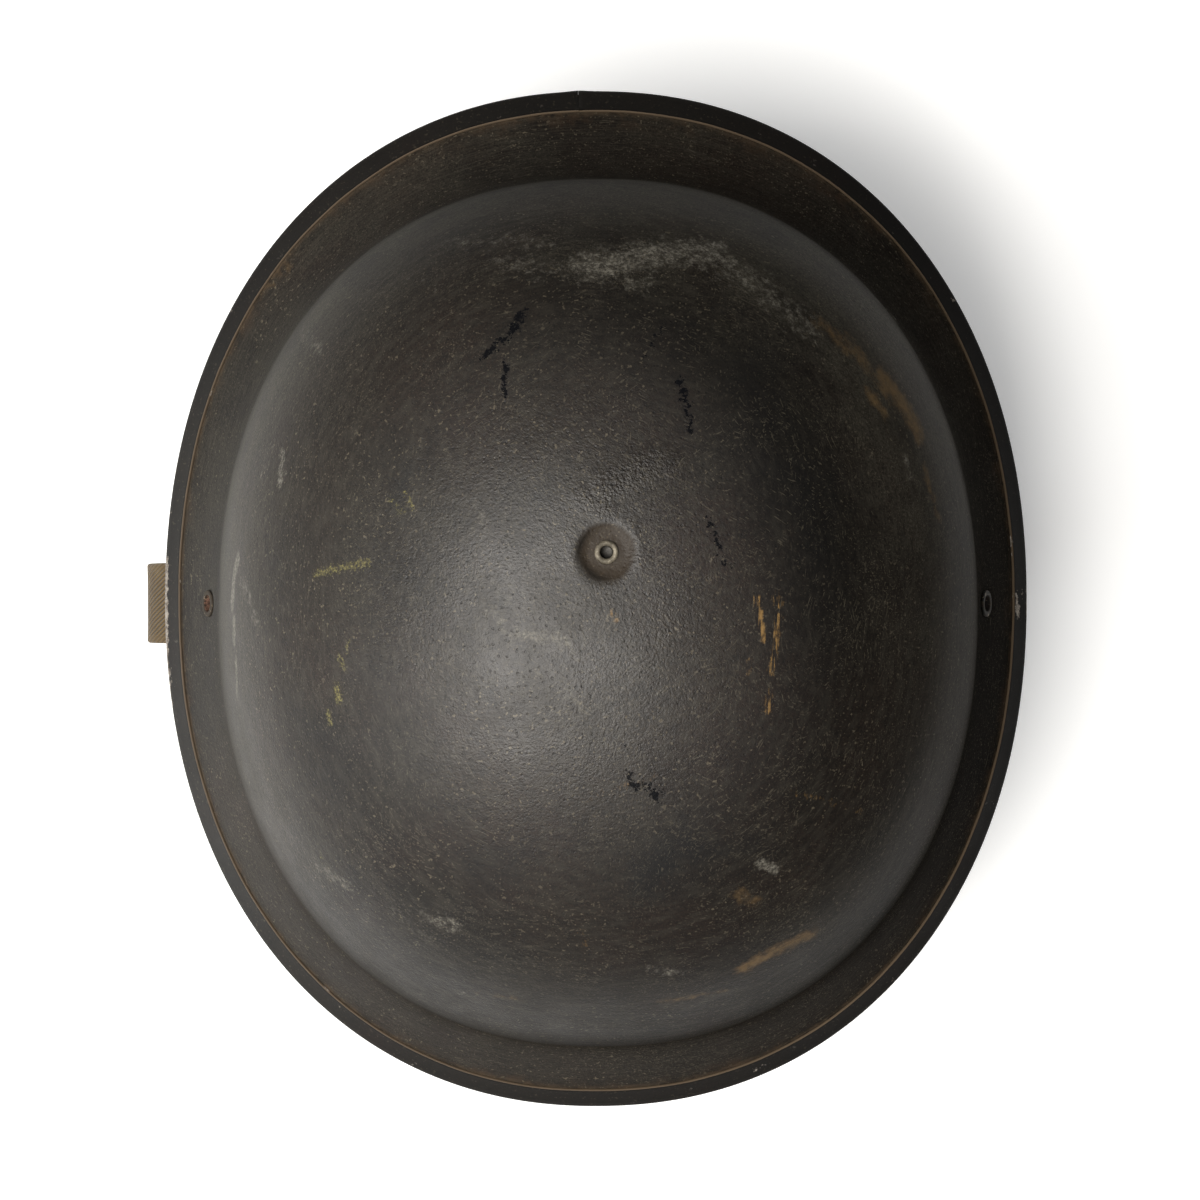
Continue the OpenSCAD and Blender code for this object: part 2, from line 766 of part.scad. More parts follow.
module cross_strap_long() {
    path = with_legs(arch(0, 180, cross_t/2, long_reach));
    color(fibre) difference() {
        long_strip(path, cross_t, cross_w);
        crown_hole();
        at_strap_ends() rivet_hole();
    }
}

module cross_strap_wide() {
    path = with_legs(arch(0, 180, cross_t/2 + wide_fall, [wide_reach, wide_reach]));
    color(fibre) difference() {
        wide_strip(path, cross_t, cross_w);
        crown_hole();
        at_strap_ends() rivet_hole();
    }
}

module cross_rivet(reach) {
    for (z = cross_rivets) translate([0, 0, z]) rotate([0, 90, 0]) {
        translate([0, 0, head_sink]) cylinder(d = inner_head_d, h = head_t);
        translate([0, 0, head_sink]) cylinder(d = cross_rivet_d, h = reach + dome_t/2 - head_sink);
        translate([0, 0, reach]) cylinder(d1 = outer_head_d, d2 = outer_head_d - 2*dome_t, h = dome_t);
    }
}

module cross_strap_rivets() {
    long_out = outside + cross_t/2;
    wide_out = wide_reach + cross_t/2 - hoop_side;
    color(dull_steel) {
        translate([0, head_y - hoop_l, 0]) rotate([0, 0, -90]) cross_rivet(long_out);
        translate([0, head_y + hoop_l, 0]) rotate([0, 0, 90]) cross_rivet(long_out);
        translate([hoop_side, crown_y, 0]) cross_rivet(wide_out);
        translate([-hoop_side, crown_y, 0]) rotate([0, 0, 180]) cross_rivet(wide_out);
    }
}

// Cross-shaped felt pad below the straps
module crown_pad() {
    fall = arch_top - pad_top + pad_t/2;
    shrink = [fall, fall];
    color(felt) {
        long_strip(arch(pad_reach[0], pad_reach[1], fall, long_reach - shrink), pad_t, pad_w);
        wide_strip(arch(pad_reach[0], pad_reach[1], fall,
            [wide_reach, wide_reach] - shrink), pad_t, pad_w);
    }
}

// Snap socket on top of the crossed straps, with its eyelet through them
module dot_socket() {
    eyelet_low = backplate_top - backplate_t;
    chamber_w = snap_d + 2*seat_gap + 2*spring_wire + 2*seat_gap;
    color(old_brass) translate([0, crown_y, 0]) difference() {
        union() {
            translate([0, 0, arch_top]) cylinder(d = socket_d, h = socket_h);
            translate([0, 0, eyelet_low]) cylinder(d = eyelet_d, h = arch_top - eyelet_low + 1);
        }
        translate([0, 0, eyelet_low - 1]) cylinder(d = socket_bore, h = 20);
        translate([-spring_back - 0.2, -chamber_w/2, spring_z - spring_wire/2 - seat_gap])
            cube([spring_back + spring_reach + 0.4, chamber_w, spring_wire + 2*seat_gap]);
    }
}

// Open spring in the socket, a wire U that grips the stud above its snap head
module dot_spring() {
    color(dull_steel) translate([0, crown_y, spring_z]) {
        for (side = [-1, 1]) translate([-spring_bend_x, side*spring_leg_y, 0]) rotate([0, 90, 0])
            cylinder(d = spring_wire, h = spring_bend_x + spring_reach);
        translate([-spring_bend_x, 0, 0]) rotate([0, 0, 90]) rotate_extrude(angle = 180)
            translate([spring_leg_y, 0]) circle(d = spring_wire);
    }
}

module socket_backplate() {
    color(old_brass) translate([0, crown_y, backplate_top - backplate_t]) difference() {
        cylinder(d = backplate_d, h = backplate_t);
        translate([0, 0, -1]) cylinder(d = eyelet_d + 2*seat_gap, h = backplate_t + 2);
    }
}

// Rubber buffers and the clips that hold them on the hoop

// A buffer's frame, with +X outward from the hoop's outer face and Z at the buffer's middle
module at_buffer(a) {
    here = oval(a, hoop_w + hoop_t, hoop_l + hoop_t, bowl_squareness);
    ahead = oval(a + 1, hoop_w + hoop_t, hoop_l + hoop_t, bowl_squareness);
    behind = oval(a - 1, hoop_w + hoop_t, hoop_l + hoop_t, bowl_squareness);
    way = ahead - behind;
    translate([here.x, here.y + head_y, buffer_low + buffer_h/2])
        rotate([0, 0, atan2(way.y, way.x) - 90]) children();
}

module buffer_clip(i) {
    color(dull_steel) at_buffer(buffer_angles[i - 1])
        translate([0, clip_w/2, 0]) rotate([90, 0, 0]) linear_extrude(clip_w) difference() {
            translate([-hoop_t, -(clip_h + clip_t)/2]) square([clip_reach + hoop_t, clip_h + clip_t]);
            translate([-hoop_t - 1, -(clip_h - clip_t)/2])
                square([clip_reach + hoop_t - clip_t + 1, clip_h - clip_t]);
        }
}

module rubber_buffer(i) {
    bevel = 3;
    half = buffer_w/2;
    color(rubber) difference() {
        at_buffer(buffer_angles[i - 1]) translate([0, 0, -buffer_h/2])
            linear_extrude(buffer_h) polygon([
                [-3, -half],
                [buffer_t - bevel, -half],
                [buffer_t, bevel - half],
                [buffer_t, half - bevel],
                [buffer_t - bevel, half],
                [-3, half]
            ]);
        translate([0, 0, hoop_low]) linear_extrude(hoop_h + 4) polygon(hoop_outline(hoop_t + seat_gap));
        at_buffer(buffer_angles[i - 1])
            translate([0, clip_w/2 + seat_gap, 0]) rotate([90, 0, 0])
                linear_extrude(clip_w + 2*seat_gap) difference() {
                    translate([-9, -(clip_h + clip_t)/2 - seat_gap])
                        square([clip_reach + 9 + seat_gap, clip_h + clip_t + 2*seat_gap]);
                    translate([-10, -(clip_h - clip_t)/2 + seat_gap])
                        square([clip_reach + 10 - clip_t - seat_gap, clip_h - clip_t - 2*seat_gap]);
                }
    }
}

helmet_shell();
rim_band();
crown_stud();
crown_washer();
lug_rivet_left();
lug_rivet_right();
lug_washer_left();
lug_washer_right();
chin_lug_left();
chin_lug_right();
bail_left();
bail_right();
chinstrap_webbing();
strap_tip();
strap_slider();
liner_hoop();
sweatband();
cross_strap_long();
cross_strap_wide();
cross_strap_rivets();
crown_pad();
dot_socket();
dot_spring();
socket_backplate();
for (i = [1:8]) rubber_buffer(i);
for (i = [1:8]) buffer_clip(i);
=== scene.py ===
"""A worn steel turtle helmet, photographed from straight above.

The pressed shell, its folded rim band, the webbing and the soft parts of the harness are built
here as fine meshes from the same sizes as the CAD, in millimetres, and turned into metres when
a mesh is made. The top of the photograph is the helmet's front, which faces -Y.
"""
import math
from functools import reduce

import bmesh
import bpy
import numpy as np
from mathutils import Matrix, Vector
from mathutils.bvhtree import BVHTree


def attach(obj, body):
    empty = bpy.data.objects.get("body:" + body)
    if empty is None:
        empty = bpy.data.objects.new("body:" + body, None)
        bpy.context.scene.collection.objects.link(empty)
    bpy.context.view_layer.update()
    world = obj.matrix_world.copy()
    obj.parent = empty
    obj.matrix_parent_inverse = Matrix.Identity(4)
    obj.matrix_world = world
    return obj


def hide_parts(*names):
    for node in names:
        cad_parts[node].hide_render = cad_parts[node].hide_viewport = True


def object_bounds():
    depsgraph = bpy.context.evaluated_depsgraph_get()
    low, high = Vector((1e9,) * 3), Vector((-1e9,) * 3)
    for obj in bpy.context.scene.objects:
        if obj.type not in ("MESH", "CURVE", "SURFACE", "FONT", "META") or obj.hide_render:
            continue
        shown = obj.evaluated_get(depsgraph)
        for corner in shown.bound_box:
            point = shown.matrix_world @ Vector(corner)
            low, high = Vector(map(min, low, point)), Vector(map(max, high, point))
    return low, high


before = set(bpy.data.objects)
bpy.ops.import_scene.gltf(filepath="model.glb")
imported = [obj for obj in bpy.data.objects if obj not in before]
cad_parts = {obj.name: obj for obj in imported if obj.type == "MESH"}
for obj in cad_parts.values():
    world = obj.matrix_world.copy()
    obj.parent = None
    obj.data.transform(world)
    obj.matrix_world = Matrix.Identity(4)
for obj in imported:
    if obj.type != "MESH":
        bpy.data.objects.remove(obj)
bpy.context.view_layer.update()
MM = 0.001
TAU = 2*math.pi
random = np.random.default_rng(7)

# Camera and photograph
PHOTO_SIZE = 1200
FOCAL_PX = 2951
SENSOR_MM = 36
EYE = Vector((0.015, 0.0, 0.880))
AIM = Vector((-0.0009, 0.0, 0.0))
FLOOR_GAP = 0.0006

# Steel shell, in millimetres as in the CAD
SHELL_T = 1.2
CROWN_HEIGHT = 140
BRIM_HEIGHT = 34
BOWL_W = 108.8
BOWL_L = 124.3
BOWL_Y = 3.5
WALL_SPREAD = 3
SPREAD_FADE = 20
CROWN_Y = -12
EDGE_W = 127.375
EDGE_L = 149.075
EDGE_Z = 1.774
FRONT_RISE = 8
REAR_RISE = 4
FULLNESS = 2.2
BOWL_SQUARENESS = 2.2
RIM_SQUARENESS = 2.15
BAND_W = 6.5
BAND_T = 0.7
SEAT_GAP = 0.05
BAND_JOINT_X = 5.7
STUD_HOLE_R = 2.7
MEAN_R = (BOWL_W + BOWL_L)/2 - WALL_SPREAD
DIMPLE_DEPTH, DIMPLE_FLAT_R, DIMPLE_R = 0.9, 5.3, 8.0
LUG = Vector((113.493, 1.0, 20.0))
LUG_LEAN = math.radians(62.504)
RIVET_HOLE_R = 3.2
RIVET_SEAT_DEPTH, RIVET_SEAT_FLAT_R, RIVET_SEAT_R = 0.32, 4.2, 6.0
DRILL_DEPTH = 8


def smoothstep(low, high, value):
    share = np.clip((value - low)/(high - low), 0, 1)
    return share*share*(3 - 2*share)


def unit(vectors):
    return vectors/np.linalg.norm(vectors, axis=-1, keepdims=True)


def raised(plan, z):
    """Plan points with their heights, or with one height for all of them."""
    return np.concatenate([plan, np.broadcast_to(z, plan.shape[:-1])[..., None]], axis=-1)


def tint(value):
    """A colour as an input takes it: three sRGB numbers turn linear, and one is a grey."""
    if isinstance(value, tuple):
        return *(c/12.92 if c <= 0.04045 else ((c + 0.055)/1.055)**2.4
                 for c in (part/255 for part in value)), 1.0
    return (value, value, value, 1.0) if isinstance(value, (int, float)) else value


# Camera and softboxes

def look(eye, aim, up):
    forward = (aim - eye).normalized()
    right = forward.cross(up).normalized()
    turn = Matrix((right, right.cross(forward), -forward)).transposed()
    return Matrix.Translation(eye) @ turn.to_4x4()


def add_camera():
    lens = bpy.data.cameras.new("camera")
    lens.sensor_width = SENSOR_MM
    lens.lens = FOCAL_PX*SENSOR_MM/PHOTO_SIZE
    lens.clip_start = 0.01
    camera = bpy.data.objects.new("camera", lens)
    camera.matrix_world = look(EYE, AIM, Vector((0, -1, 0)))
    bpy.context.collection.objects.link(camera)
    bpy.context.scene.camera = camera
    return camera.matrix_world.to_3x3()


def add_softbox(name, place, aim, size, watts, colour):
    data = bpy.data.lights.new(name, "AREA")
    data.shape = "RECTANGLE"
    data.size, data.size_y = size
    data.energy = watts
    data.color = colour
    lamp = bpy.data.objects.new(name, data)
    lamp.matrix_world = look(Vector(place), Vector(aim), Vector((0, 1, 0.1)))
    bpy.context.collection.objects.link(lamp)


camera_turn = add_camera()


def pixel_ray(px, py):
    """Direction from the camera through a pixel of the photograph."""
    across = (px - PHOTO_SIZE/2)/FOCAL_PX
    down = (py - PHOTO_SIZE/2)/FOCAL_PX
    return (camera_turn @ Vector((across, -down, -1))).normalized()


# Shader building

class Paintbox:
    """A material, the colour that it has so far, and short names for its nodes.

    A colour is given as three sRGB numbers from 0 to 255, as one number for a grey, or as a
    socket. A noise is given by its scale, its detail and its roughness.
    """

    def __init__(self, name):
        self.material = bpy.data.materials.new(name)
        self.material.use_nodes = True
        self.tree = self.material.node_tree
        self.shader = self.tree.nodes["Principled BSDF"]
        self.place = self.add("ShaderNodeTexCoord").outputs["Object"]
        self.colour = None

    @classmethod
    def of(cls, world):
        """The same short names for the nodes of a world."""
        box = cls.__new__(cls)
        world.use_nodes = True
        box.tree = world.node_tree
        return box

    def add(self, kind, **settings):
        node = self.tree.nodes.new(kind)
        for key, value in settings.items():
            setattr(node, key, value)
        return node

    def feed(self, socket, value):
        """Links a socket to an input, or sets a number or a colour on it."""
        if isinstance(value, bpy.types.NodeSocket):
            self.tree.links.new(value, socket)
        else:
            socket.default_value = value

    def put(self, inputs, **values):
        """Feeds inputs by their names."""
        for key, value in values.items():
            self.feed(inputs[key.replace("_", " ")], value)

    def attribute(self, name, output="Fac"):
        return self.add("ShaderNodeAttribute", attribute_name=name).outputs[output]

    def noise(self, scale, detail, rough, vector=None, shift=None, bend=0.0, output="Fac"):
        node = self.add("ShaderNodeTexNoise")
        if shift:
            vector = self.stretched((1, 1, 1), shift=shift)
        self.put(node.inputs, Vector=self.place if vector is None else vector, Scale=scale,
                 Detail=detail, Roughness=rough, Distortion=bend)
        return node.outputs[output]

    def voronoi(self, scale, vector=None, feature="F1", output="Distance"):
        node = self.add("ShaderNodeTexVoronoi", feature=feature)
        self.put(node.inputs, Vector=self.place if vector is None else vector, Scale=scale)
        return node.outputs[output]

    def dots(self, scale, radius, chance):
        """Round specks in some of the cells, with radius as a share of a cell."""
        near = self.band(self.voronoi(scale), radius*0.5, radius, 1.0, 0.0)
        pick = self.voronoi(scale, output="Color")
        return self.times(near, self.band(pick, chance - 0.02, chance + 0.02))

    def stretched(self, scale, turn=(0, 0, 0), vector=None, shift=(0, 0, 0)):
        """The place turned first and then stretched, for grain that runs along one way."""
        vector = self.place if vector is None else vector
        turning = [{"Rotation": turn}] if any(turn) else []
        for values in [*turning, {"Scale": scale, "Location": shift}]:
            node = self.add("ShaderNodeMapping")
            self.put(node.inputs, Vector=vector, **values)
            vector = node.outputs["Vector"]
        return vector

    def strands(self, scale, detail=2, rough=0.6, **lie):
        """Noise that is drawn out, with a scale for each axis."""
        return self.noise(1, detail, rough, vector=self.stretched(scale, **lie))

    def band(self, value, low, high, to_low=0.0, to_high=1.0):
        """value runs smoothly from to_low at low to to_high at high."""
        node = self.add("ShaderNodeMapRange", interpolation_type="SMOOTHSTEP")
        self.put(node.inputs, Value=value, From_Min=low, From_Max=high, To_Min=to_low,
                 To_Max=to_high)
        return node.outputs["Result"]

    def patches(self, scale, detail, rough, low, high, to_low=0.0, to_high=1.0, **more):
        """A band of noise."""
        return self.band(self.noise(scale, detail, rough, **more), low, high, to_low, to_high)

    def math(self, kind, *values):
        node = self.add("ShaderNodeMath", operation=kind)
        for socket, value in zip(node.inputs, values):
            self.feed(socket, value)
        return node.outputs[0]

    def times(self, *values):
        return reduce(lambda a, b: self.math("MULTIPLY", a, b), values)

    def highest(self, *values):
        return reduce(lambda a, b: self.math("MAXIMUM", a, b), values)

    def total(self, *terms):
        """The sum of values that each come with their weight."""
        return reduce(lambda a, b: self.math("ADD", a, b), [self.times(*term) for term in terms])

    def uneven(self, value, noise, reach):
        """A value that noise pushes up and down by at most half of reach."""
        return self.total((value, 1), (self.math("SUBTRACT", noise, 0.5), reach))

    def mix(self, share, a, b):
        node = self.add("ShaderNodeMix", data_type="RGBA")
        for index, value in ((0, share), (6, tint(a)), (7, tint(b))):
            self.feed(node.inputs[index], value)
        return node.outputs[2]

    def coat(self, share, colour, most=1.0):
        """Lays a colour over the one so far, by a share and by no more than most."""
        share = share if most == 1 else self.times(share, most)
        self.colour = self.mix(share, self.colour, colour)

    def bump(self, depth, strength, *terms):
        """A relief from heights that each come with their weight."""
        node = self.add("ShaderNodeBump")
        self.put(node.inputs, Strength=strength, Distance=depth, Height=self.total(*terms))
        return node.outputs["Normal"]

    def seen(self):
        """1 for rays that show a surface to the camera, straight or in a reflection."""
        path = self.add("ShaderNodeLightPath")
        return self.highest(*[path.outputs["Is " + kind + " Ray"]
                              for kind in ("Camera", "Glossy", "Transmission")])

    def finish(self, roughness, normal=None, metal=0.0, specular=0.5, **more):
        """Sets the shader to what was built and gives the material."""
        if normal is not None:
            more["Normal"] = normal
        self.put(self.shader.inputs, Base_Color=tint(self.colour), Roughness=roughness,
                 Metallic=metal, Specular_IOR_Level=specular, **more)
        return self.material


# Mesh building

def build(name, points, faces, body, material, stands_for=(), attributes=None,
          outward=True):
    """A smooth mesh from points in millimetres. attributes holds one number or vector a point."""
    mesh = bpy.data.meshes.new(name)
    mesh.from_pydata((np.asarray(points)*MM).tolist(), [], faces)
    for key, values in (attributes or {}).items():
        values = np.asarray(values, dtype=np.float32)
        kind = "FLOAT" if values.ndim == 1 else "FLOAT_VECTOR"
        layer = mesh.attributes.new(key, kind, "POINT")
        layer.data.foreach_set("value" if values.ndim == 1 else "vector", values.ravel())
    mesh.materials.append(material)
    if outward:
        turned_out = bmesh.new()
        turned_out.from_mesh(mesh)
        bmesh.ops.recalc_face_normals(turned_out, faces=turned_out.faces)
        turned_out.to_mesh(mesh)
        turned_out.free()
    mesh.shade_smooth()
    mesh.update()
    piece = bpy.data.objects.new(name, mesh)
    bpy.context.collection.objects.link(piece)
    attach(piece, body)
    if stands_for:
        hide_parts(*stands_for)
    return piece


def net(rows, columns, close_rows=False, close_columns=False):
    """Quads of a net of points that are numbered row by row."""
    k, j = np.meshgrid(np.arange(rows if close_rows else rows - 1),
                       np.arange(columns if close_columns else columns - 1), indexing="ij")
    below, beside = (k + 1) % rows, (j + 1) % columns
    quads = np.stack([k*columns + j, k*columns + beside, below*columns + beside,
                      below*columns + j], axis=-1)
    return quads.reshape(-1, 4).tolist()


# Shape of the shell: s runs from 0 at the crown over 1 at the brim to 2 at the steel's edge

def oval(angle, half_width, half_length, squareness):
    reach = ((np.abs(np.cos(angle))/half_width)**squareness
             + (np.abs(np.sin(angle))/half_length)**squareness)**(-1/squareness)
    return np.stack([reach*np.cos(angle), reach*np.sin(angle)], axis=-1)


def wall_oval(angle):
    """Plan of the bowl without the spread at its foot, and the way outward."""
    plan = oval(angle, BOWL_W - WALL_SPREAD, BOWL_L - WALL_SPREAD, BOWL_SQUARENESS)
    return plan, unit(plan)


def dome_point(s, angle):
    tilt = np.clip(s, 0, 1)*math.pi/2
    out = np.sin(tilt)**(2/FULLNESS)
    up = np.cos(tilt)**(2/FULLNESS)
    z = BRIM_HEIGHT + (CROWN_HEIGHT - BRIM_HEIGHT)*up
    plan, way = wall_oval(angle)
    disc = MEAN_R*way
    share = smoothstep(0.02, 0.12, out)[..., None]
    plan = disc*(1 - share) + plan*share
    plan = plan + way*(WALL_SPREAD*np.exp((BRIM_HEIGHT - z)/SPREAD_FADE))[..., None]
    x = out*plan[..., 0]
    y = out*plan[..., 1] + CROWN_Y + (BOWL_Y - CROWN_Y)*out
    return np.stack([x, y, z], axis=-1)


def edge_height(angle):
    rise = np.where(np.sin(angle) < 0, FRONT_RISE, REAR_RISE)
    return EDGE_Z + rise*np.sin(angle)**2


def brim_point(v, angle):
    plan, way = wall_oval(angle)
    foot = plan + WALL_SPREAD*way + np.array([0, BOWL_Y])
    edge = oval(angle, EDGE_W, EDGE_L, RIM_SQUARENESS)
    run = np.linalg.norm(edge - foot, axis=-1)
    start = WALL_SPREAD/SPREAD_FADE*(BRIM_HEIGHT - edge_height(angle))/run
    flat = foot + (edge - foot)*(v*v + (v - v*v)*start)[..., None]
    return raised(flat, BRIM_HEIGHT + (edge_height(angle) - BRIM_HEIGHT)*v)


def skin(s, angle):
    s, angle = np.broadcast_arrays(np.asarray(s, float), np.asarray(angle, float))
    return np.where((s < 1)[..., None], dome_point(np.minimum(s, 1), angle),
                    brim_point(np.clip(s - 1, 0, 1.2), angle))


def skin_normal(s, angle):
    step = 0.004
    s, angle = np.broadcast_arrays(np.asarray(s, float), np.asarray(angle, float))
    around = skin(s, angle + step) - skin(s, angle - step)
    up = skin(s - step, angle) - skin(s + step, angle)
    return unit(np.cross(around, up))


def waves(angle, s, terms):
    """A small smooth unevenness, from a few waves round and down the steel."""
    total = np.zeros(np.broadcast(angle, s).shape)
    for turns, runs, phase, height in terms:
        total += height*np.sin(turns*angle + runs*s*math.pi + phase)
    return total


PRESSING = [(2, 1.1, 0.4, 0.10), (3, -1.7, 2.1, 0.07), (5, 2.6, 4.0, 0.04), (9, 3.4, 1.0, 0.02)]


def shell_point(s, angle):
    """The outer face with its dimple, its rivet seats and the press's unevenness."""
    point = skin(s, angle)
    normal = skin_normal(np.maximum(s, 0.02), angle)
    fade = smoothstep(0.15, 0.4, s)*(1 - smoothstep(1.6, 1.9, s))
    point = point + normal*(waves(angle, s, PRESSING)*fade)[..., None]
    r = np.hypot(point[..., 0], point[..., 1] - CROWN_Y)
    point[..., 2] -= DIMPLE_DEPTH*(1 - smoothstep(DIMPLE_FLAT_R, DIMPLE_R, r))*(s < 0.3)
    for side in (-1, 1):
        seat = np.array([side*LUG.x, LUG.y, LUG.z])
        far = np.linalg.norm(point - seat, axis=-1)
        sunk = RIVET_SEAT_DEPTH*(1 - smoothstep(RIVET_SEAT_FLAT_R, RIVET_SEAT_R, far))
        point = point - normal*sunk[..., None]
    return point, normal


def shell_rows(rows, brim_rows):
    hole = [2/math.pi*math.asin((r/MEAN_R)**(FULLNESS/2))
            for r in (STUD_HOLE_R, STUD_HOLE_R + 0.06, STUD_HOLE_R + 0.2)]
    dome = np.linspace(hole[-1], 1, rows, endpoint=False)
    return np.concatenate([hole[:2], dome, np.linspace(1, 2, brim_rows)])


def band_share(angle):
    """The share of the way down the brim at which the band's upper edge lies."""
    run = (brim_point(np.full_like(angle, 1.0), angle)
           - brim_point(np.full_like(angle, 0.98), angle))/0.02
    return 1 - BAND_W/np.linalg.norm(run, axis=-1)


OUTER_ROWS, BRIM_ROWS, SHELL_COLUMNS = 150, 46, 640
angles = np.linspace(0, TAU, SHELL_COLUMNS, endpoint=False)
rows_s = shell_rows(OUTER_ROWS, BRIM_ROWS)
grid_s, grid_a = np.meshgrid(rows_s, angles, indexing="ij")
outer_points, outer_normals = shell_point(grid_s, grid_a)
tangent_s = np.gradient(outer_points, axis=0)
tangent_a = (np.roll(outer_points, -1, axis=1) - np.roll(outer_points, 1, axis=1))
true_normals = unit(-np.cross(tangent_s, tangent_a))
true_normals *= np.sign((true_normals*outer_normals).sum(-1))[..., None]
inner_points = outer_points - SHELL_T*true_normals

# A look-up of the outer face, to place marks by a pixel of the photograph
outer_tree = BVHTree.FromPolygons((outer_points.reshape(-1, 3)*MM).tolist(),
                                  net(len(rows_s), SHELL_COLUMNS, close_columns=True))


def on_shell(px, py):
    """Where the camera sees a pixel of the photograph on the shell, in millimetres.

    A pixel just past the shell's outline is placed in the plane of the rim.
    """
    ray = pixel_ray(px, py)
    hit = outer_tree.ray_cast(EYE, ray)[0]
    if hit is None:
        hit = EYE + ray*(EDGE_Z*MM - EYE.z)/ray.z
    return np.array(hit)/MM


def trail(pixels, step=2.0):
    """Points on the shell along a line of photograph pixels."""
    points = []
    for (ax, ay), (bx, by) in zip(pixels, pixels[1:]):
        count = max(int(math.hypot(bx - ax, by - ay)/step), 1)
        for i in range(count + 1):
            points.append(on_shell(ax + (bx - ax)*i/count, ay + (by - ay)*i/count))
    return np.array(points)


def mark(points, marks):
    """How strongly marks lie on each point: 1 in their middle, 0 past their width in mm."""
    total = np.zeros(len(points))
    for pixels, width, strength in marks:
        line = trail(pixels) if len(pixels) > 1 else np.array([on_shell(*pixels[0])])
        low, high = line.min(axis=0) - width, line.max(axis=0) + width
        near = np.where(((points > low) & (points < high)).all(axis=1))[0]
        if not len(near):
            continue
        far = np.full(len(near), 1e9)
        for spot in line:
            far = np.minimum(far, np.linalg.norm(points[near] - spot, axis=1))
        share = strength*(1 - smoothstep(0, width, far))
        total[near] = np.maximum(total[near], share)
    return total


# Marks on the paint, as pixel lines of the photograph with a half width in mm and a strength
FLAKES = [
    ([(523, 312), (512, 332), (496, 346), (487, 355)], 4.2, 1.0),
    ([(507, 362), (503, 382), (505, 396)], 2.6, 1.0),
    ([(548, 322), (553, 328)], 1.6, 0.8),
    ([(664, 322), (652, 345), (640, 362)], 2.4, 0.75),
    ([(679, 380), (686, 402), (690, 432)], 3.0, 1.0),
    ([(708, 520), (718, 545), (727, 565)], 3.0, 0.85),
    ([(733, 560), (742, 575)], 1.6, 0.7),
    ([(622, 742), (632, 752)], 1.8, 0.8),
    ([(628, 775), (636, 786)], 3.4, 1.0),
    ([(646, 785), (658, 798)], 4.0, 1.0),
    ([(712, 605), (706, 690)], 1.3, 0.5),
]
SMUDGES = [
    ([(690, 850), (650, 880)], 16.0, 0.75),
    ([(720, 860), (760, 850)], 10.0, 0.5),
    ([(480, 870), (560, 850)], 12.0, 0.35),
    ([(395, 500), (405, 470)], 5.0, 0.55),
    ([(740, 330), (790, 420), (820, 520)], 26.0, 0.35),
    ([(300, 700), (330, 760)], 14.0, 0.35),
    ([(520, 480), (540, 500)], 9.0, 0.3),
]
YELLOW = [
    ([(316, 574), (330, 570), (352, 566), (368, 562)], 2.6, 0.9),
    ([(338, 655), (344, 668)], 1.8, 0.9),
    ([(337, 688), (339, 700)], 2.6, 1.0),
    ([(328, 712), (330, 722)], 2.2, 1.0),
    ([(350, 640), (346, 652)], 1.4, 0.7),
    ([(390, 498), (403, 512)], 2.4, 0.65),
    ([(404, 492), (413, 508)], 1.6, 0.8),
    ([(265, 638), (266, 655)], 1.2, 0.6),
    ([(320, 850), (322, 862)], 1.8, 0.5),
]
OCHRE = [
    ([(757, 598), (761, 620), (764, 642)], 1.6, 0.9),
    ([(776, 596), (779, 604)], 2.4, 0.8),
    ([(778, 615), (776, 640), (772, 672)], 1.5, 1.0),
    ([(770, 690), (767, 712)], 1.8, 0.8),
    ([(752, 660), (750, 675)], 1.4, 0.6),
    ([(600, 565), (604, 572)], 1.4, 0.35),
    ([(612, 615), (616, 620)], 1.5, 0.55),
    ([(580, 930), (584, 944)], 2.2, 0.35),
    ([(790, 790), (860, 812)], 1.8, 0.3),
    ([(655, 775), (590, 800)], 2.4, 0.3),
]
WORN = [
    ([(850, 345), (872, 372), (893, 400)], 6.0, 0.55),
    ([(884, 380), (905, 405), (917, 430)], 7.5, 0.85),
    ([(868, 392), (884, 412)], 3.5, 0.8),
    ([(820, 322), (850, 350)], 5.0, 0.45),
    ([(925, 470), (938, 515)], 3.5, 0.5),
    ([(745, 968), (775, 950), (812, 934)], 4.6, 0.75),
    ([(738, 895), (752, 903)], 4.0, 0.5),
    ([(660, 1002), (728, 990)], 2.2, 0.5),
    ([(470, 990), (520, 1000)], 2.5, 0.3),
    ([(262, 290), (285, 268)], 5.0, 0.35),
]
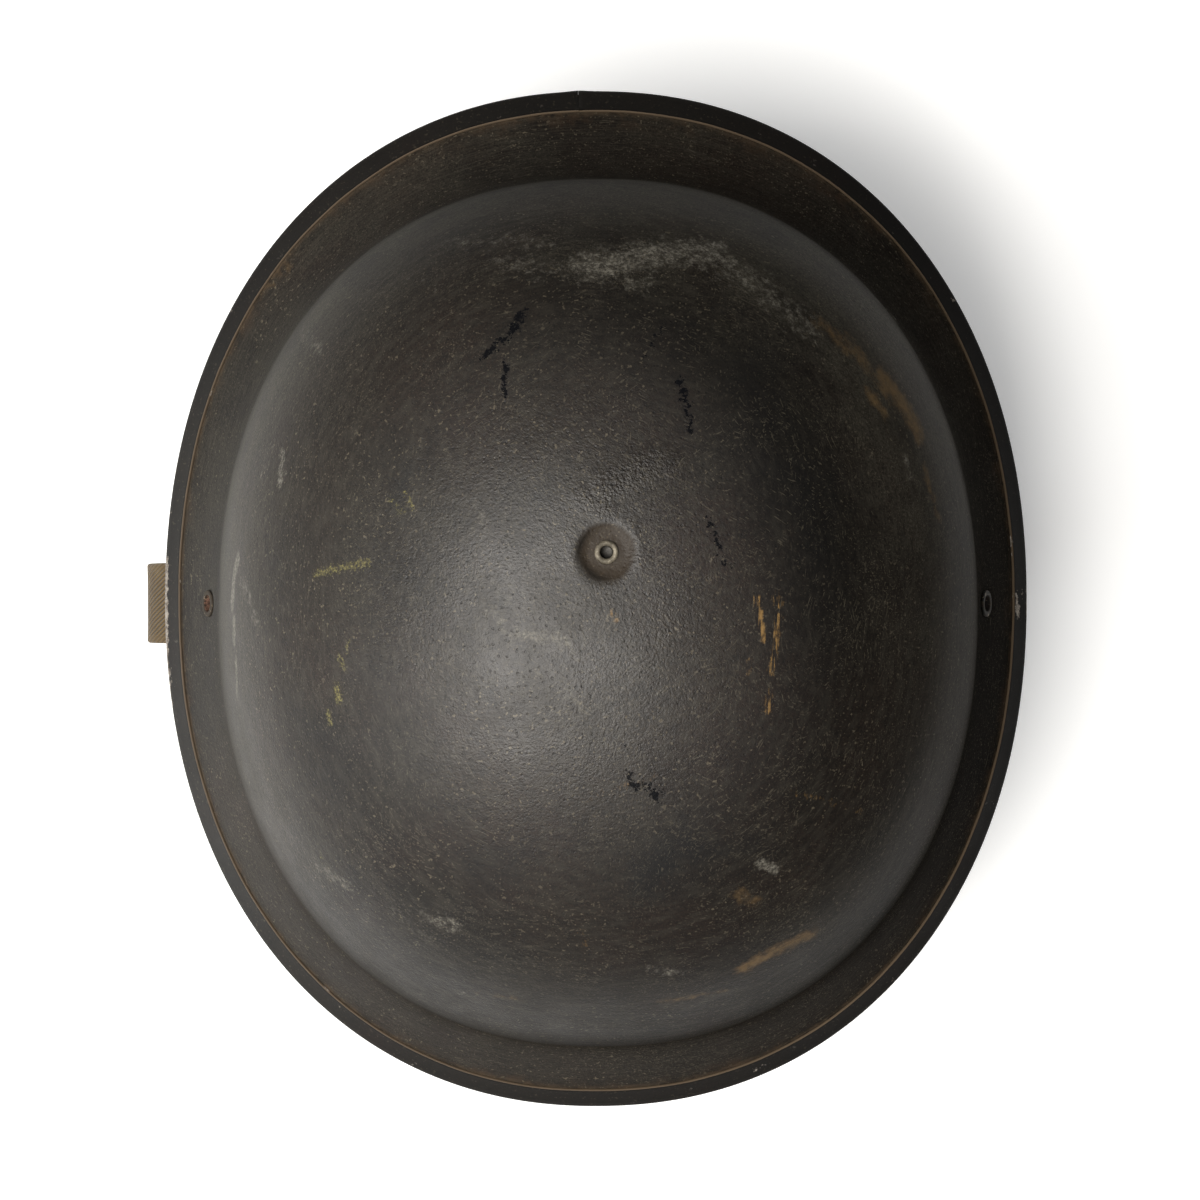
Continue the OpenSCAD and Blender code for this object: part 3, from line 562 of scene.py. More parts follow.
SCUFFS = [
    ([(590, 266), (650, 255), (710, 250)], 15.0, 0.6),
    ([(500, 262), (570, 270), (640, 285)], 13.0, 0.4),
    ([(450, 245), (500, 240), (550, 243)], 9.0, 0.4),
    ([(700, 255), (760, 285), (805, 325)], 17.0, 0.45),
    ([(640, 250), (690, 246), (730, 262)], 6.0, 0.6),
    ([(238, 558), (234, 575), (232, 605)], 3.6, 1.2),
    ([(234, 620), (234, 640)], 3.2, 1.1),
    ([(242, 580), (252, 605), (258, 630)], 5.0, 0.5),
    ([(236, 660), (237, 695)], 3.0, 0.7),
    ([(282, 455), (280, 485)], 3.0, 0.7),
    ([(272, 445), (262, 475)], 5.0, 0.4),
    ([(318, 868), (345, 884)], 8.0, 0.5),
    ([(425, 915), (452, 925)], 8.0, 0.5),
    ([(395, 905), (425, 940)], 9.0, 0.35),
    ([(440, 985), (480, 1000)], 6.0, 0.35),
    ([(515, 634), (545, 637), (568, 640)], 4.0, 0.62),
    ([(492, 612), (512, 640)], 5.0, 0.5),
    ([(500, 580), (520, 610)], 16.0, 0.3),
    ([(470, 690), (480, 700)], 4.0, 0.3),
    ([(560, 690), (580, 705)], 4.0, 0.45),
    ([(280, 450), (285, 475)], 3.5, 0.45),
    ([(475, 500), (482, 522)], 3.0, 0.5),
    ([(905, 455), (912, 480)], 4.0, 0.45),
    ([(760, 862), (775, 870)], 4.0, 0.6),
    ([(650, 968), (680, 975)], 5.0, 0.45),
    ([(300, 330), (320, 350)], 6.0, 0.4),
    ([(395, 265), (440, 290)], 6.0, 0.3),
    ([(860, 280), (895, 320)], 8.0, 0.4),
    ([(795, 1010), (840, 980)], 5.0, 0.25),
]
REDDISH = [
    ([(760, 700), (730, 760)], 34.0, 0.8),
    ([(430, 380), (470, 420)], 26.0, 0.55),
    ([(700, 560), (740, 620)], 30.0, 0.6),
    ([(300, 640), (310, 660)], 16.0, 0.5),
    ([(500, 830), (560, 880)], 34.0, 0.55),
    ([(840, 700), (860, 760)], 26.0, 0.45),
    ([(590, 400), (640, 420)], 26.0, 0.45),
]
LUMPY = [
    ([(604, 486), (630, 473), (660, 460)], 6.2, 1.0),
    ([(585, 496), (604, 506)], 5.5, 0.6),
    ([(655, 460), (670, 464)], 5.6, 1.0),
    ([(630, 530), (640, 560)], 4.5, 0.35),
    ([(600, 600), (655, 650)], 9.0, 0.25),
]
SHELL_MARKS = {"flake": FLAKES, "smudge": SMUDGES, "yellow": YELLOW, "ochre": OCHRE,
               "worn": WORN, "scuff": SCUFFS, "reddish": REDDISH, "lumpy": LUMPY}

# Chips on the rim band, in the same form
CHIPS = [
    ([(167, 560), (165, 585), (164, 610)], 2.0, 1.0),
    ([(165, 625), (167, 650)], 1.4, 0.8),
    ([(171, 668), (174, 680)], 1.7, 1.0),
    ([(183, 578), (182, 584)], 1.2, 0.9),
    ([(183, 612), (183, 620)], 0.9, 0.6),
    ([(178, 590), (170, 602)], 1.1, 0.7),
    ([(213, 392), (213, 400)], 1.3, 1.0),
    ([(205, 440), (203, 448)], 0.9, 0.6),
    ([(205, 840), (208, 850)], 1.3, 1.0),
    ([(222, 868), (226, 876)], 1.0, 0.7),
    ([(318, 975), (330, 990)], 1.6, 0.9),
    ([(335, 1002), (352, 1012)], 1.3, 0.7),
    ([(1010, 538), (1010, 545)], 1.3, 0.9),
    ([(1012, 555), (1014, 565)], 1.3, 0.8),
    ([(1014, 595), (1016, 615)], 2.0, 1.0),
    ([(1020, 590), (1021, 600)], 1.4, 0.9),
    ([(1022, 625), (1022, 640)], 1.2, 0.8),
    ([(1008, 470), (1009, 478)], 1.0, 0.6),
    ([(752, 1068), (768, 1062)], 2.0, 0.5),
    ([(756, 1052), (760, 1051)], 1.0, 0.8),
    ([(905, 975), (908, 972)], 0.9, 0.6),
    ([(275, 258), (280, 254)], 1.0, 0.5),
]

# The rim's bare edge beside the strap and on the other side
BARE = [([(165, 566), (164, 600), (165, 640)], 2.7, 1.0),
        ([(165, 640), (167, 680), (170, 705)], 1.9, 0.9),
        ([(1026, 585), (1027, 620)], 0.9, 0.6)]


def shell_attributes(points, s_values, a_values):
    """How marked, dull and dirty the paint is at each point, and where shade and light are painted
    into it.

    Degrees run from the photograph's left over its bottom, so that its top lies at -90.
    """
    values = {key: mark(points, marks) for key, marks in SHELL_MARKS.items()}

    def lobe(degrees, power):
        """1 on one side of the helmet, and falling away round it."""
        return (0.5 + 0.5*np.cos(a_values - math.radians(degrees)))**power

    # away is 1 on the side turned from the lamps; the painted shade below grows with it.
    away = 1 - lobe(25, 1)
    wall = smoothstep(0.52, 0.7, s_values)*(1 - smoothstep(0.8, 1.02, s_values))
    matt = 0.94 - 0.09*lobe(100, 2) - 0.12*lobe(-85, 4)
    foot = smoothstep(matt - 0.3, matt + 0.03, s_values)*(1 - smoothstep(1.05, 1.9, s_values))
    brim = smoothstep(0.95, 1.2, s_values)
    values["dull"] = (smoothstep(0.27 - 0.35*away, 0.5, s_values)*(0.35 + 0.65*away)
                      * (1 - (0.42*lobe(90, 1) + 0.3*lobe(-130, 4))*wall))
    values["foot"] = (foot*(0.9 - 0.15*lobe(15, 3))*(1 - 0.6*lobe(-45, 3))
                      * (1 - 0.5*lobe(-140, 6)))
    lift = 0.62 - 0.5*lobe(85, 2) + 0.25*lobe(-130, 4) - 0.4*lobe(-85, 4)
    flank = (1 - (0.3 + 0.25*lobe(-140, 4))*smoothstep(0.3, 0.5, s_values)
             * (1 - brim*lobe(180, 3)))
    # shade is painted shade: darker on the side away from the lamps and on the flanks, with the
    # walls lifted or darkened to follow how the light falls.
    values["shade"] = ((0.12 + 0.88*away)*smoothstep(-0.1, 0.46, s_values)*(1 - lift*wall)*flank
                       * (1 - 0.6*lobe(-60, 2)*brim)*(1 - 0.3*lobe(-130, 4)*brim)
                       + 0.2*lobe(75, 5)*smoothstep(0.25, 0.45, s_values)*(1 - brim)
                       + 0.2*lobe(-88, 6)*smoothstep(0.5, 0.75, s_values)*(1 - brim))
    # bloom is a pale dusty film that also stands in for light: painted light that brightens the
    # walls at the top left and the top right.
    values["bloom"] = (lobe(-28, 5)*smoothstep(0.55, 0.95, s_values)*(1 - 0.75*brim)
                       + 0.5*lobe(-135, 5)*smoothstep(0.3, 0.6, s_values)*(1 - 0.7*brim))
    values["rim_near"] = smoothstep(1.72, 1.845, s_values)
    band_top = 1 + band_share(a_values)
    values["rim_line"] = np.exp(-((s_values - band_top + 0.004)/0.016)**2)
    r = np.hypot(points[:, 0], points[:, 1] - CROWN_Y) + 1000*(s_values > 0.3)
    values["dimple"] = 1 - smoothstep(6.4, 7.8, r)
    toward = (points[:, 0]*0.94 + (points[:, 1] - CROWN_Y)*0.34)/np.maximum(r, 1)
    values["dimple_shade"] = np.exp(-((r - 6.7)/0.8)**2)*smoothstep(-0.1, 0.8, toward)
    values["lie"] = np.stack([np.cos(a_values), np.sin(a_values), s_values], axis=-1)
    return values


PIT_DEPTH = -0.45


def paint_colour(p, marks=True):
    """The worn paint's colour, dark brown-grey with clouds, specks and pits, and its grain."""
    clouds = p.noise(14, 4, 0.6)
    fine_clouds = p.noise(60, 4, 0.65)
    p.colour = p.mix(p.band(clouds, 0.35, 0.65), (46, 39, 32), (27, 22, 18))
    p.coat(p.band(fine_clouds, 0.3, 0.75, 0.0, 0.55), (47, 43, 36))
    red = p.patches(22, 3, 0.6, 0.5, 0.75, shift=(3, 1, 2))
    if marks:
        red = p.total((red, 0.35), (p.attribute("reddish"), fine_clouds))
    p.coat(red, (48, 29, 22), 0.9)
    p.coat(p.patches(330, 4, 0.75, 0.5, 0.66), (17, 15, 12), 0.45)
    grain = p.noise(1500, 2, 0.7)
    p.coat(p.band(grain, 0.35, 0.75, 0.6, 0.0), (8, 7, 6))
    zone = p.patches(35, 3, 0.6, 0.36, 0.6, 0.35, 1.0)
    specks = p.highest(p.patches(900, 1, 0.5, 0.66, 0.74, shift=(5, 7, 1)), p.dots(720, 0.2, 0.55))
    p.coat(p.times(specks, zone), (112, 103, 86), 0.6)
    pits = p.dots(760, 0.3, 0.5)
    p.coat(pits, (9, 8, 7), 0.55)
    return p.total((grain, 1), (pits, PIT_DEPTH)), fine_clouds


# The way that each layer of scratches runs, in radians, its scale along and across, and how few
SCRATCHES = [(0.5, 210, 2300, 0.65), (1.2, 260, 2600, 0.66), (1.75, 170, 2200, 0.655),
             (2.5, 230, 2400, 0.655), (0.05, 320, 1900, 0.665)]


def scratch_layers(p):
    """Short fine scratches in several directions, each bent a little and in patches."""
    layers = []
    for index, (turn, length, width, low) in enumerate(SCRATCHES):
        warp = p.mix(0.005, p.place, p.noise(60 + 9*index, 1, 0.5, output="Color"))
        lines = p.strands((length, width, width), 1, 0.5, turn=(0, 0, turn), vector=warp,
                          shift=(index, 2*index, 0))
        patch = p.patches(45, 2, 0.5, 0.45, 0.62, shift=(index*3.1, 1.7, index))
        layers.append(p.times(p.band(lines, low, low + 0.05), patch))
    return p.highest(*layers)


def broken(p, name, scale, full, spread, soft, detail=4):
    """A mark that noise breaks up: the higher full is, the less of it is left."""
    share = p.attribute(name)
    amount = p.uneven(share, p.noise(scale, detail, 0.7), spread)
    return p.times(p.band(amount, full - soft, full + soft), p.band(share, 0.02, 0.12))


def shell_paint():
    """The paint of the shell with its wear, its dirt, its marks, its painted shade and painted
    light, and a gloss that varies.
    """
    p = Paintbox("shell_paint")
    grain, clouds = paint_colour(p)
    brushed = p.strands((14, 14, 90), 3, vector=p.attribute("lie", "Vector"))
    p.coat(p.band(brushed, 0.42, 0.7, 0, 0.5), (56, 52, 45))
    # Painted shade, laid over the paint by the shade attribute.
    p.coat(p.attribute("shade"), (6, 6, 5), 0.85)
    # The pale bloom: partly dust, partly painted light on the walls.
    bloom = p.times(p.attribute("bloom"), p.band(clouds, 0.32, 0.66, 0.15, 0.75),
                    p.band(grain, 0.35, 0.62, 0.35, 1.0))
    p.coat(bloom, (82, 79, 69))
    p.coat(p.times(p.attribute("smudge"), p.patches(70, 4, 0.7, 0.35, 0.6)), (12, 12, 13))
    p.coat(scratch_layers(p), (98, 92, 78), 0.26)
    flecks = p.patches(1250, 3, 0.7, 0.42, 0.62, 0.25, 1.0)
    rubbed = p.attribute("scuff")
    scuff = p.times(p.band(p.uneven(rubbed, p.noise(420, 4, 0.75), 1.3), 0.3, 0.75),
                    p.band(rubbed, 0.02, 0.25), flecks)
    p.coat(scuff, (120, 116, 106), 0.7)
    p.coat(broken(p, "worn", 300, 0.6, 1.8, 0.5), (104, 83, 54), 0.72)
    p.coat(p.times(broken(p, "yellow", 1300, 0.78, 3.0, 0.35), flecks), (132, 124, 74), 0.6)
    drawn = p.band(p.strands((1500, 130, 900), turn=(0, 0, 0.04)), 0.45, 0.56)
    p.coat(p.times(drawn, broken(p, "ochre", 500, 0.6, 2.0, 0.4)), (146, 114, 66), 0.62)
    flake = broken(p, "flake", 700, 0.86, 3.2, 0.08, detail=5)
    p.coat(flake, (9, 10, 13), 0.95)
    dimple = p.attribute("dimple")
    p.coat(dimple, (52, 43, 33), 0.6)
    p.coat(p.attribute("dimple_shade"), (12, 10, 8), 0.85)
    p.coat(p.times(p.attribute("rim_near"), p.patches(120, 4, 0.7, 0.45, 0.7)), (58, 42, 29), 0.35)
    p.coat(p.times(p.attribute("rim_line"), p.patches(240, 4, 0.7, 0.3, 0.6)), (92, 76, 58), 0.35)
    even = p.times(p.total((grain, 1.2), (p.noise(800, 2, 0.6), 0.9)),
                   p.band(dimple, 0, 1, 1.0, 0.6))
    lumps = p.times(p.attribute("lumpy"), p.noise(1150, 2, 0.6))
    normal = p.bump(0.00012, 0.9, (even, 1), (lumps, 6), (flake, -0.5))
    dull = p.attribute("dull")
    roughness = p.band(dull, 0, 1, p.band(clouds, 0.25, 0.8, 0.42, 0.56), 1.0)
    roughness = p.mix(flake, p.mix(scuff, roughness, 0.6), 0.5)
    gloss = p.times(p.band(dull, 0, 1, 0.4, 0.06), p.band(p.attribute("foot"), 0, 1, 1.0, 0.0),
                    p.band(dimple, 0, 1, 1.0, 0.35), p.band(flake, 0, 1, 1.0, 0.2))
    return p.finish(roughness, normal, specular=gloss)


def rim_paint():
    """The rim's darker paint, with rust along its upper edge, chips to the bare metal, painted
    shade on the side away from the lamps and a painted shadow along its upper edge and seat.
    """
    p = Paintbox("rim_paint")
    grain, clouds = paint_colour(p, marks=False)
    p.coat(0.6, (30, 29, 27))
    # Painted shade on the side away from the lamps.
    shade = p.attribute("shade")
    p.coat(shade, (9, 8, 7), 0.8)
    rust = p.uneven(p.attribute("upper_edge"), p.noise(300, 3, 0.6), 0.9)
    p.coat(p.band(rust, 0.45, 0.75), (88, 75, 60), 0.8)
    chip = p.highest(broken(p, "chip", 600, 0.42, 1.8, 0.06),
                     p.times(p.patches(260, 4, 0.7, 0.66, 0.7), p.attribute("outer_edge")),
                     broken(p, "bare", 520, 0.36, 1.8, 0.06))
    p.coat(chip, p.mix(p.patches(650, 4, 0.7, 0.35, 0.62), (88, 79, 70), (150, 143, 134)))
    # A painted shadow along the band's upper edge and in the gap at its seat.
    p.coat(p.attribute("painted_gap_shadow"), (14, 12, 10), 0.85)
    normal = p.bump(0.0001, 0.8, (grain, 0.3), (p.noise(420, 3, 0.6), 0.4), (chip, -0.8))
    return p.finish(p.band(clouds, 0.25, 0.8, 0.42, 0.55), normal,
                    specular=p.band(shade, 0, 1, 0.2, 0.04))


def make_shell():
    inner_step = 2
    inner_rows = list(range(0, len(rows_s) - 1, inner_step)) + [len(rows_s) - 1]
    outer = outer_points.reshape(-1, 3)
    inner = inner_points[inner_rows[::-1]].reshape(-1, 3)
    points = np.concatenate([outer, inner])
    faces = net(len(rows_s) + len(inner_rows), SHELL_COLUMNS, close_rows=True, close_columns=True)
    all_s = np.concatenate([grid_s.ravel(), grid_s[inner_rows[::-1]].ravel()])
    all_a = np.concatenate([grid_a.ravel(), grid_a[inner_rows[::-1]].ravel()])
    values = shell_attributes(points, all_s, all_a)
    inside = np.arange(len(points)) >= len(outer)
    for key in [*SHELL_MARKS, "bloom"]:
        values[key] = np.where(inside, 0, values[key])
    return build("pressed_shell", points, faces, "helmet", shell_paint(),
                 ["helmet_shell"], values, outward=False)


def drill(piece, place, axis, radius, depth):
    """Cuts a round hole through a piece, with everything in millimetres."""
    mesh = bpy.data.meshes.new("drill")
    tool = bmesh.new()
    bmesh.ops.create_cone(tool, cap_ends=True, segments=48, radius1=radius*MM,
                          radius2=radius*MM, depth=depth*MM)
    tool.to_mesh(mesh)
    tool.free()
    cutter = bpy.data.objects.new("drill", mesh)
    turn = Vector((0, 0, 1)).rotation_difference(Vector(axis)).to_matrix().to_4x4()
    cutter.matrix_world = Matrix.Translation(Vector(place)*MM) @ turn
    bpy.context.collection.objects.link(cutter)
    cut = piece.modifiers.new("drill", "BOOLEAN")
    cut.object = cutter
    cut.solver = "EXACT"
    apply_modifiers(piece)
    bpy.data.objects.remove(cutter)


def apply_modifiers(piece):
    bpy.context.view_layer.update()
    shown = piece.evaluated_get(bpy.context.evaluated_depsgraph_get())
    mesh = bpy.data.meshes.new_from_object(shown)
    piece.modifiers.clear()
    piece.data = mesh


JOINT_GAP, JOINT_LIFT, RIM_COLUMNS = 0.06, 0.25, 620


def make_rim_band():
    """The steel strip folded round the edge, butted at the front, with a wavy upper edge."""
    joint = 1.5*math.pi + math.atan2(BAND_JOINT_X, EDGE_L)
    half_gap = JOINT_GAP/2/EDGE_L
    angle = np.linspace(joint + half_gap, joint - half_gap + TAU, RIM_COLUMNS)
    waver = waves(angle, np.zeros_like(angle), [(3, 0, 0.3, 0.10), (7, 0, 1.9, 0.09),
                                                (17, 0, 0.2, 0.06), (41, 0, 2.2, 0.04)])
    near_joint = np.exp(-((angle - joint)/0.02)**2) + np.exp(-((angle - joint - TAU)/0.02)**2)
    share = band_share(angle)
    width = (1 - share)*(1 + waver/BAND_W)
    leg = np.linspace(0, 1, 8)[1:-1]
    near, far = SEAT_GAP, SEAT_GAP + BAND_T
    loops, upper_edge, outer_edge, painted_gap_shadow = [], [], [], []

    def add(point, upper, outer, gap):
        loops.append(point)
        upper_edge.append(np.full(RIM_COLUMNS, upper))
        outer_edge.append(np.full(RIM_COLUMNS, outer))
        painted_gap_shadow.append(np.full(RIM_COLUMNS, gap))

    def along(step, lift):
        s = 2 - width*(1 - step)
        return skin(s, angle) + skin_normal(s, angle)*lift

    end = skin(np.full_like(angle, 2.0), angle)
    end_n = skin_normal(np.full_like(angle, 2.0), angle)
    down = end - skin(np.full_like(angle, 1.99), angle)
    down = unit(down - (down*end_n).sum(-1, keepdims=True)*end_n)
    bulge = near_joint[:, None]*JOINT_LIFT

    def fold(turn, reach):
        way = end_n*math.cos(turn) + down*math.sin(turn)
        return end - end_n*SHELL_T/2 + (SHELL_T/2 + reach)*way

    # Outer leg from its rounded upper edge, round the fold, up the inner leg, and back inside
    # The last number of each step is how much painted shadow it carries.
    for step, lift, upper, gap in ((0, near, 1, 0), (0, near + 0.25*BAND_T, 1, 0),
                                   (0.004, near + 0.7*BAND_T, 1, 0),
                                   (0.03, near + 0.93*BAND_T, 1, 0), (0.055, far, 0.4, 0.7),
                                   (0.085, far - 0.04, 0, 1), (0.115, far, 0, 0)):
        add(along(step, lift), upper, 0, gap)
    for step in leg:
        add(along(step, far), 0, 0.15 if step < 0.8 else 0.6, 0)
    for turn in np.linspace(0, math.pi, 15):
        add(fold(turn, far + bulge), 0, math.sin(turn)**0.5 if 0 < turn < math.pi else 0.4, 0)
    for step in leg[::-1]:
        add(along(step, -SHELL_T - far), 0, 0.1, 0)
    for step, lift, upper, gap in ((0.03, near + 0.93*BAND_T, 0.5, 0),
                                   (0, near + 0.5*BAND_T, 0.6, 0), (0, near, 0.6, 1)):
        add(along(step, -SHELL_T - lift), upper, 0, gap)
    for turn in np.linspace(math.pi, 0, 9):
        add(fold(turn, near), 0, 0, 1)

    rows = len(loops)
    points = np.array(loops).reshape(-1, 3)
    faces = net(rows, RIM_COLUMNS, close_rows=True)
    for side in (0, RIM_COLUMNS - 1):
        ring = [k*RIM_COLUMNS + side for k in range(rows)]
        faces += end_faces(ring, side == 0)
    # shade is painted shade: the band darkens on the side away from the lamps.
    values = {"upper_edge": np.concatenate(upper_edge), "outer_edge": np.concatenate(outer_edge),
              "painted_gap_shadow": np.concatenate(painted_gap_shadow), "chip": mark(points, CHIPS),
              "shade": np.tile((0.5 - 0.5*np.cos(angle - math.radians(10)))**0.7, rows),
              "bare": mark(points, BARE)}
    return build("folded_rim", points, faces, "helmet", rim_paint(), ["rim_band"],
                 values, outward=False)


def end_faces(ring, first):
    """Faces across the end of a folded strip, whose ring runs out along one face and back."""
    faces = []
    low, high = 0, len(ring) - 1
    while high - low > 2:
        quad = [ring[low], ring[low + 1], ring[high - 1], ring[high]]
        faces.append(quad if first else quad[::-1])
        low, high = low + 1, high - 1
    if high - low == 2:
        triangle = [ring[low], ring[low + 1], ring[high]]
        faces.append(triangle if first else triangle[::-1])
    return faces


shell = make_shell()
for side in (-1, 1):
    drill(shell, (side*LUG.x, LUG.y, LUG.z),
          (side*math.sin(LUG_LEAN), 0, math.cos(LUG_LEAN)), RIVET_HOLE_R, DRILL_DEPTH)
make_rim_band()


# Strips, turned parts and stitches

def resampled(points, step):
    """A path with points at equal steps, and how far along it each of them lies."""
    points = np.asarray(points, float)
    gaps = np.linalg.norm(np.diff(points, axis=0), axis=1)
    points = points[np.concatenate([[True], gaps > 1e-6])]
    run = np.concatenate([[0], np.cumsum(np.linalg.norm(np.diff(points, axis=0), axis=1))])
    along = np.linspace(0, run[-1], int(run[-1]/step) + 1)
    path = np.stack([np.interp(along, run, points[:, i]) for i in range(points.shape[1])], -1)
    return path, along


def strip_section(width, thick, edge, flats=11, turns=7):
    """Loop of (across, lift) round a strip's section with rounded edges."""
    half = width/2 - edge
    turn = np.linspace(math.pi/2, -math.pi/2, turns)
    right = np.stack([half + edge*np.cos(turn), thick/2*np.sin(turn)], -1)
    across = np.linspace(half, -half, flats + 2)[1:-1]
    below = np.stack([across, np.full(flats, -thick/2)], -1)
    return np.concatenate([right, below, -right, -below])


def end_caps(rows, columns):
    return [list(range(columns)), [(rows - 1)*columns + j for j in range(columns)]]


def strip(name, path, along, across, section, body, material, stands_for, bend=None):
    """A strip on its middle line. bend moves points by a function of along, across and lift."""
    up = unit(np.cross(np.gradient(path, axis=0), across))
    run = np.repeat(along[:, None], len(section), axis=1)
    side = np.repeat(section[None, :, 0], len(path), axis=0)
    lift = np.repeat(section[None, :, 1], len(path), axis=0)
    if bend:
        side, lift = bend(run, side, lift)
    points = (path[:, None] + side[..., None]*np.array(across, float)
              + lift[..., None]*up[:, None])
    faces = net(len(path), len(section), close_columns=True) + end_caps(len(path), len(section))
    half = np.abs(section[:, 0]).max()
    values = {"along": run.ravel(), "across": side.ravel(),
              "edge": smoothstep(0.8*half, half, np.abs(side)).ravel()}
    return build(name, points.reshape(-1, 3), faces, body, material, stands_for, values)


def turned(name, profile, place, lean, body, material, stands_for, bore, closed=False,
           side=1):
    """A part turned from a profile of (radius, height), whose axis leans outward to one side."""
    steps = 72
    angle = np.linspace(0, TAU, steps, endpoint=False)
    profile = np.asarray(profile, float)
    r, h = profile[:, 0, None], profile[:, 1, None]
    local = np.stack([r*np.cos(angle), r*np.sin(angle), h + 0*angle], -1)
    axis = np.array([side*math.sin(lean), 0, math.cos(lean)])
    u = np.array([math.cos(lean), 0, -side*math.sin(lean)])
    v = np.cross(axis, u)
    points = (np.array(place) + local[..., :1]*u + local[..., 1:2]*v + local[..., 2:]*axis)
    faces = net(len(profile), steps, close_rows=closed, close_columns=True)
    if not closed:
        faces += end_caps(len(profile), steps)
    inside = np.repeat(profile[:, 0] < bore + 0.04, steps)
    return build(name, points.reshape(-1, 3), faces, body, material, stands_for,
                 {"inside": inside.astype(float)})


def arc(centre, radius, start, end, steps=8):
    """Points of an arc in a profile, from one angle to another in degrees."""
    turn = np.radians(np.linspace(start, end, steps))
    return [(centre[0] + radius*math.cos(t), centre[1] + radius*math.sin(t)) for t in turn]


def stitches(name, spots, ups, body, material, radius=0.28, cover=0.72, rise=0.3):
    """Thread between each spot and the next. spots come as lists of one seam each."""
    points, faces = [], []
    rings, sides = 7, 8
    turn = np.linspace(0, TAU, sides, endpoint=False)
    share = np.linspace(0, 1, rings)
    plump = np.sqrt(np.clip(1 - (2*share - 1)**4, 0.06, 1))
    for seam, seam_up in zip(spots, ups):
        seam, seam_up = np.asarray(seam, float), np.asarray(seam_up, float)
        for k in range(len(seam) - 1):
            start, end, up = seam[k], seam[k + 1], seam_up[k]
            gap = (end - start)*(1 - cover)/2
            start, end = start + gap, end - gap
            beside = np.cross(up, unit(end - start))
            arch = rise*np.sin(math.pi*share) - 0.1
            middle = start + (end - start)*share[:, None] + up*arch[:, None]
            ring = (np.cos(turn)[None, :, None]*beside
                    + np.sin(turn)[None, :, None]*up)*radius*plump[:, None, None]
            first = len(points)*sides*rings
            points.append(middle[:, None] + ring)
            cell = net(rings, sides, close_columns=True) + end_caps(rings, sides)
            faces += [[first + i for i in face] for face in cell]
    return build(name, np.concatenate(points).reshape(-1, 3), faces, body, material, ())


# Materials of the fittings, the strap and the harness

def metal(name, base, dark, stain, rough=(0.3, 0.55), stained=0.55, metallic=0.85, scale=1.0):
    """Aged metal: a mottled tone with scratches, and stains that break through in patches."""
    p = Paintbox(name)
    mottle = p.noise(160*scale, 5, 0.65)
    p.colour = p.mix(p.band(mottle, 0.35, 0.68), dark, base)
    p.coat(p.band(p.strands((90, 1500, 1500), turn=(0.4, 0.9, 0.7)), 0.62, 0.7), base, 0.5)
    spots = p.patches(330*scale, 5, 0.7, stained, stained + 0.12, bend=0.4)
    p.coat(spots, stain, 0.85)
    normal = p.bump(0.00008, 0.7, (p.noise(1800, 2, 0.6), 0.4), (mottle, 0.5), (spots, 0.5))
    roughness = p.mix(spots, p.band(mottle, 0.3, 0.7, rough[1], rough[0]), 0.85)
    return p.finish(roughness, normal, metal=p.band(spots, 0, 1, metallic, 0.15))


def rivet_metal(name, inside, outside):
    """A tubular rivet: painted over on its flange, with the given colour in its bore."""
    p = Paintbox(name)
    blotch = p.noise(520, 4, 0.7)
    paint = p.mix(p.band(blotch, 0.4, 0.65), outside, (60, 54, 45))
    # rust is the bore's colour: rust on the left rivet, and painted shade on the right one.
    rust = p.mix(p.patches(420, 4, 0.7, 0.4, 0.6), inside, (26, 19, 14))
    p.colour = p.mix(p.attribute("inside"), paint, rust)
    p.coat(p.patches(900, 3, 0.7, 0.62, 0.68), (140, 124, 104), 0.7)
    normal = p.bump(0.00012, 0.8, (blotch, 1), (p.noise(2200, 2, 0.6), 1))
    return p.finish(p.band(blotch, 0.3, 0.7, 0.6, 0.85), normal, metal=0.1, specular=0.2)


def stud_metal():
    """The crown's stud: dirty bare metal, with painted shade in its bore."""
    p = Paintbox("stud_metal")
    mottle = p.noise(480, 4, 0.7)
    p.colour = p.mix(p.band(mottle, 0.35, 0.65), (76, 70, 58), (122, 114, 98))
    p.coat(p.patches(700, 4, 0.7, 0.55, 0.66), (62, 54, 42), 0.7)
    # Painted shade: the bore is darkened nearly to black.
    p.coat(p.attribute("inside"), (12, 10, 8), 0.85)
    normal = p.bump(0.00015, 0.9, (p.noise(1400, 3, 0.7), 1))
    return p.finish(p.band(mottle, 0.3, 0.7, 0.7, 0.45), normal, metal=0.25)


RIB_PITCH, RIB_SLANT, YARN_PITCH = 1.4, 0.5, 0.62


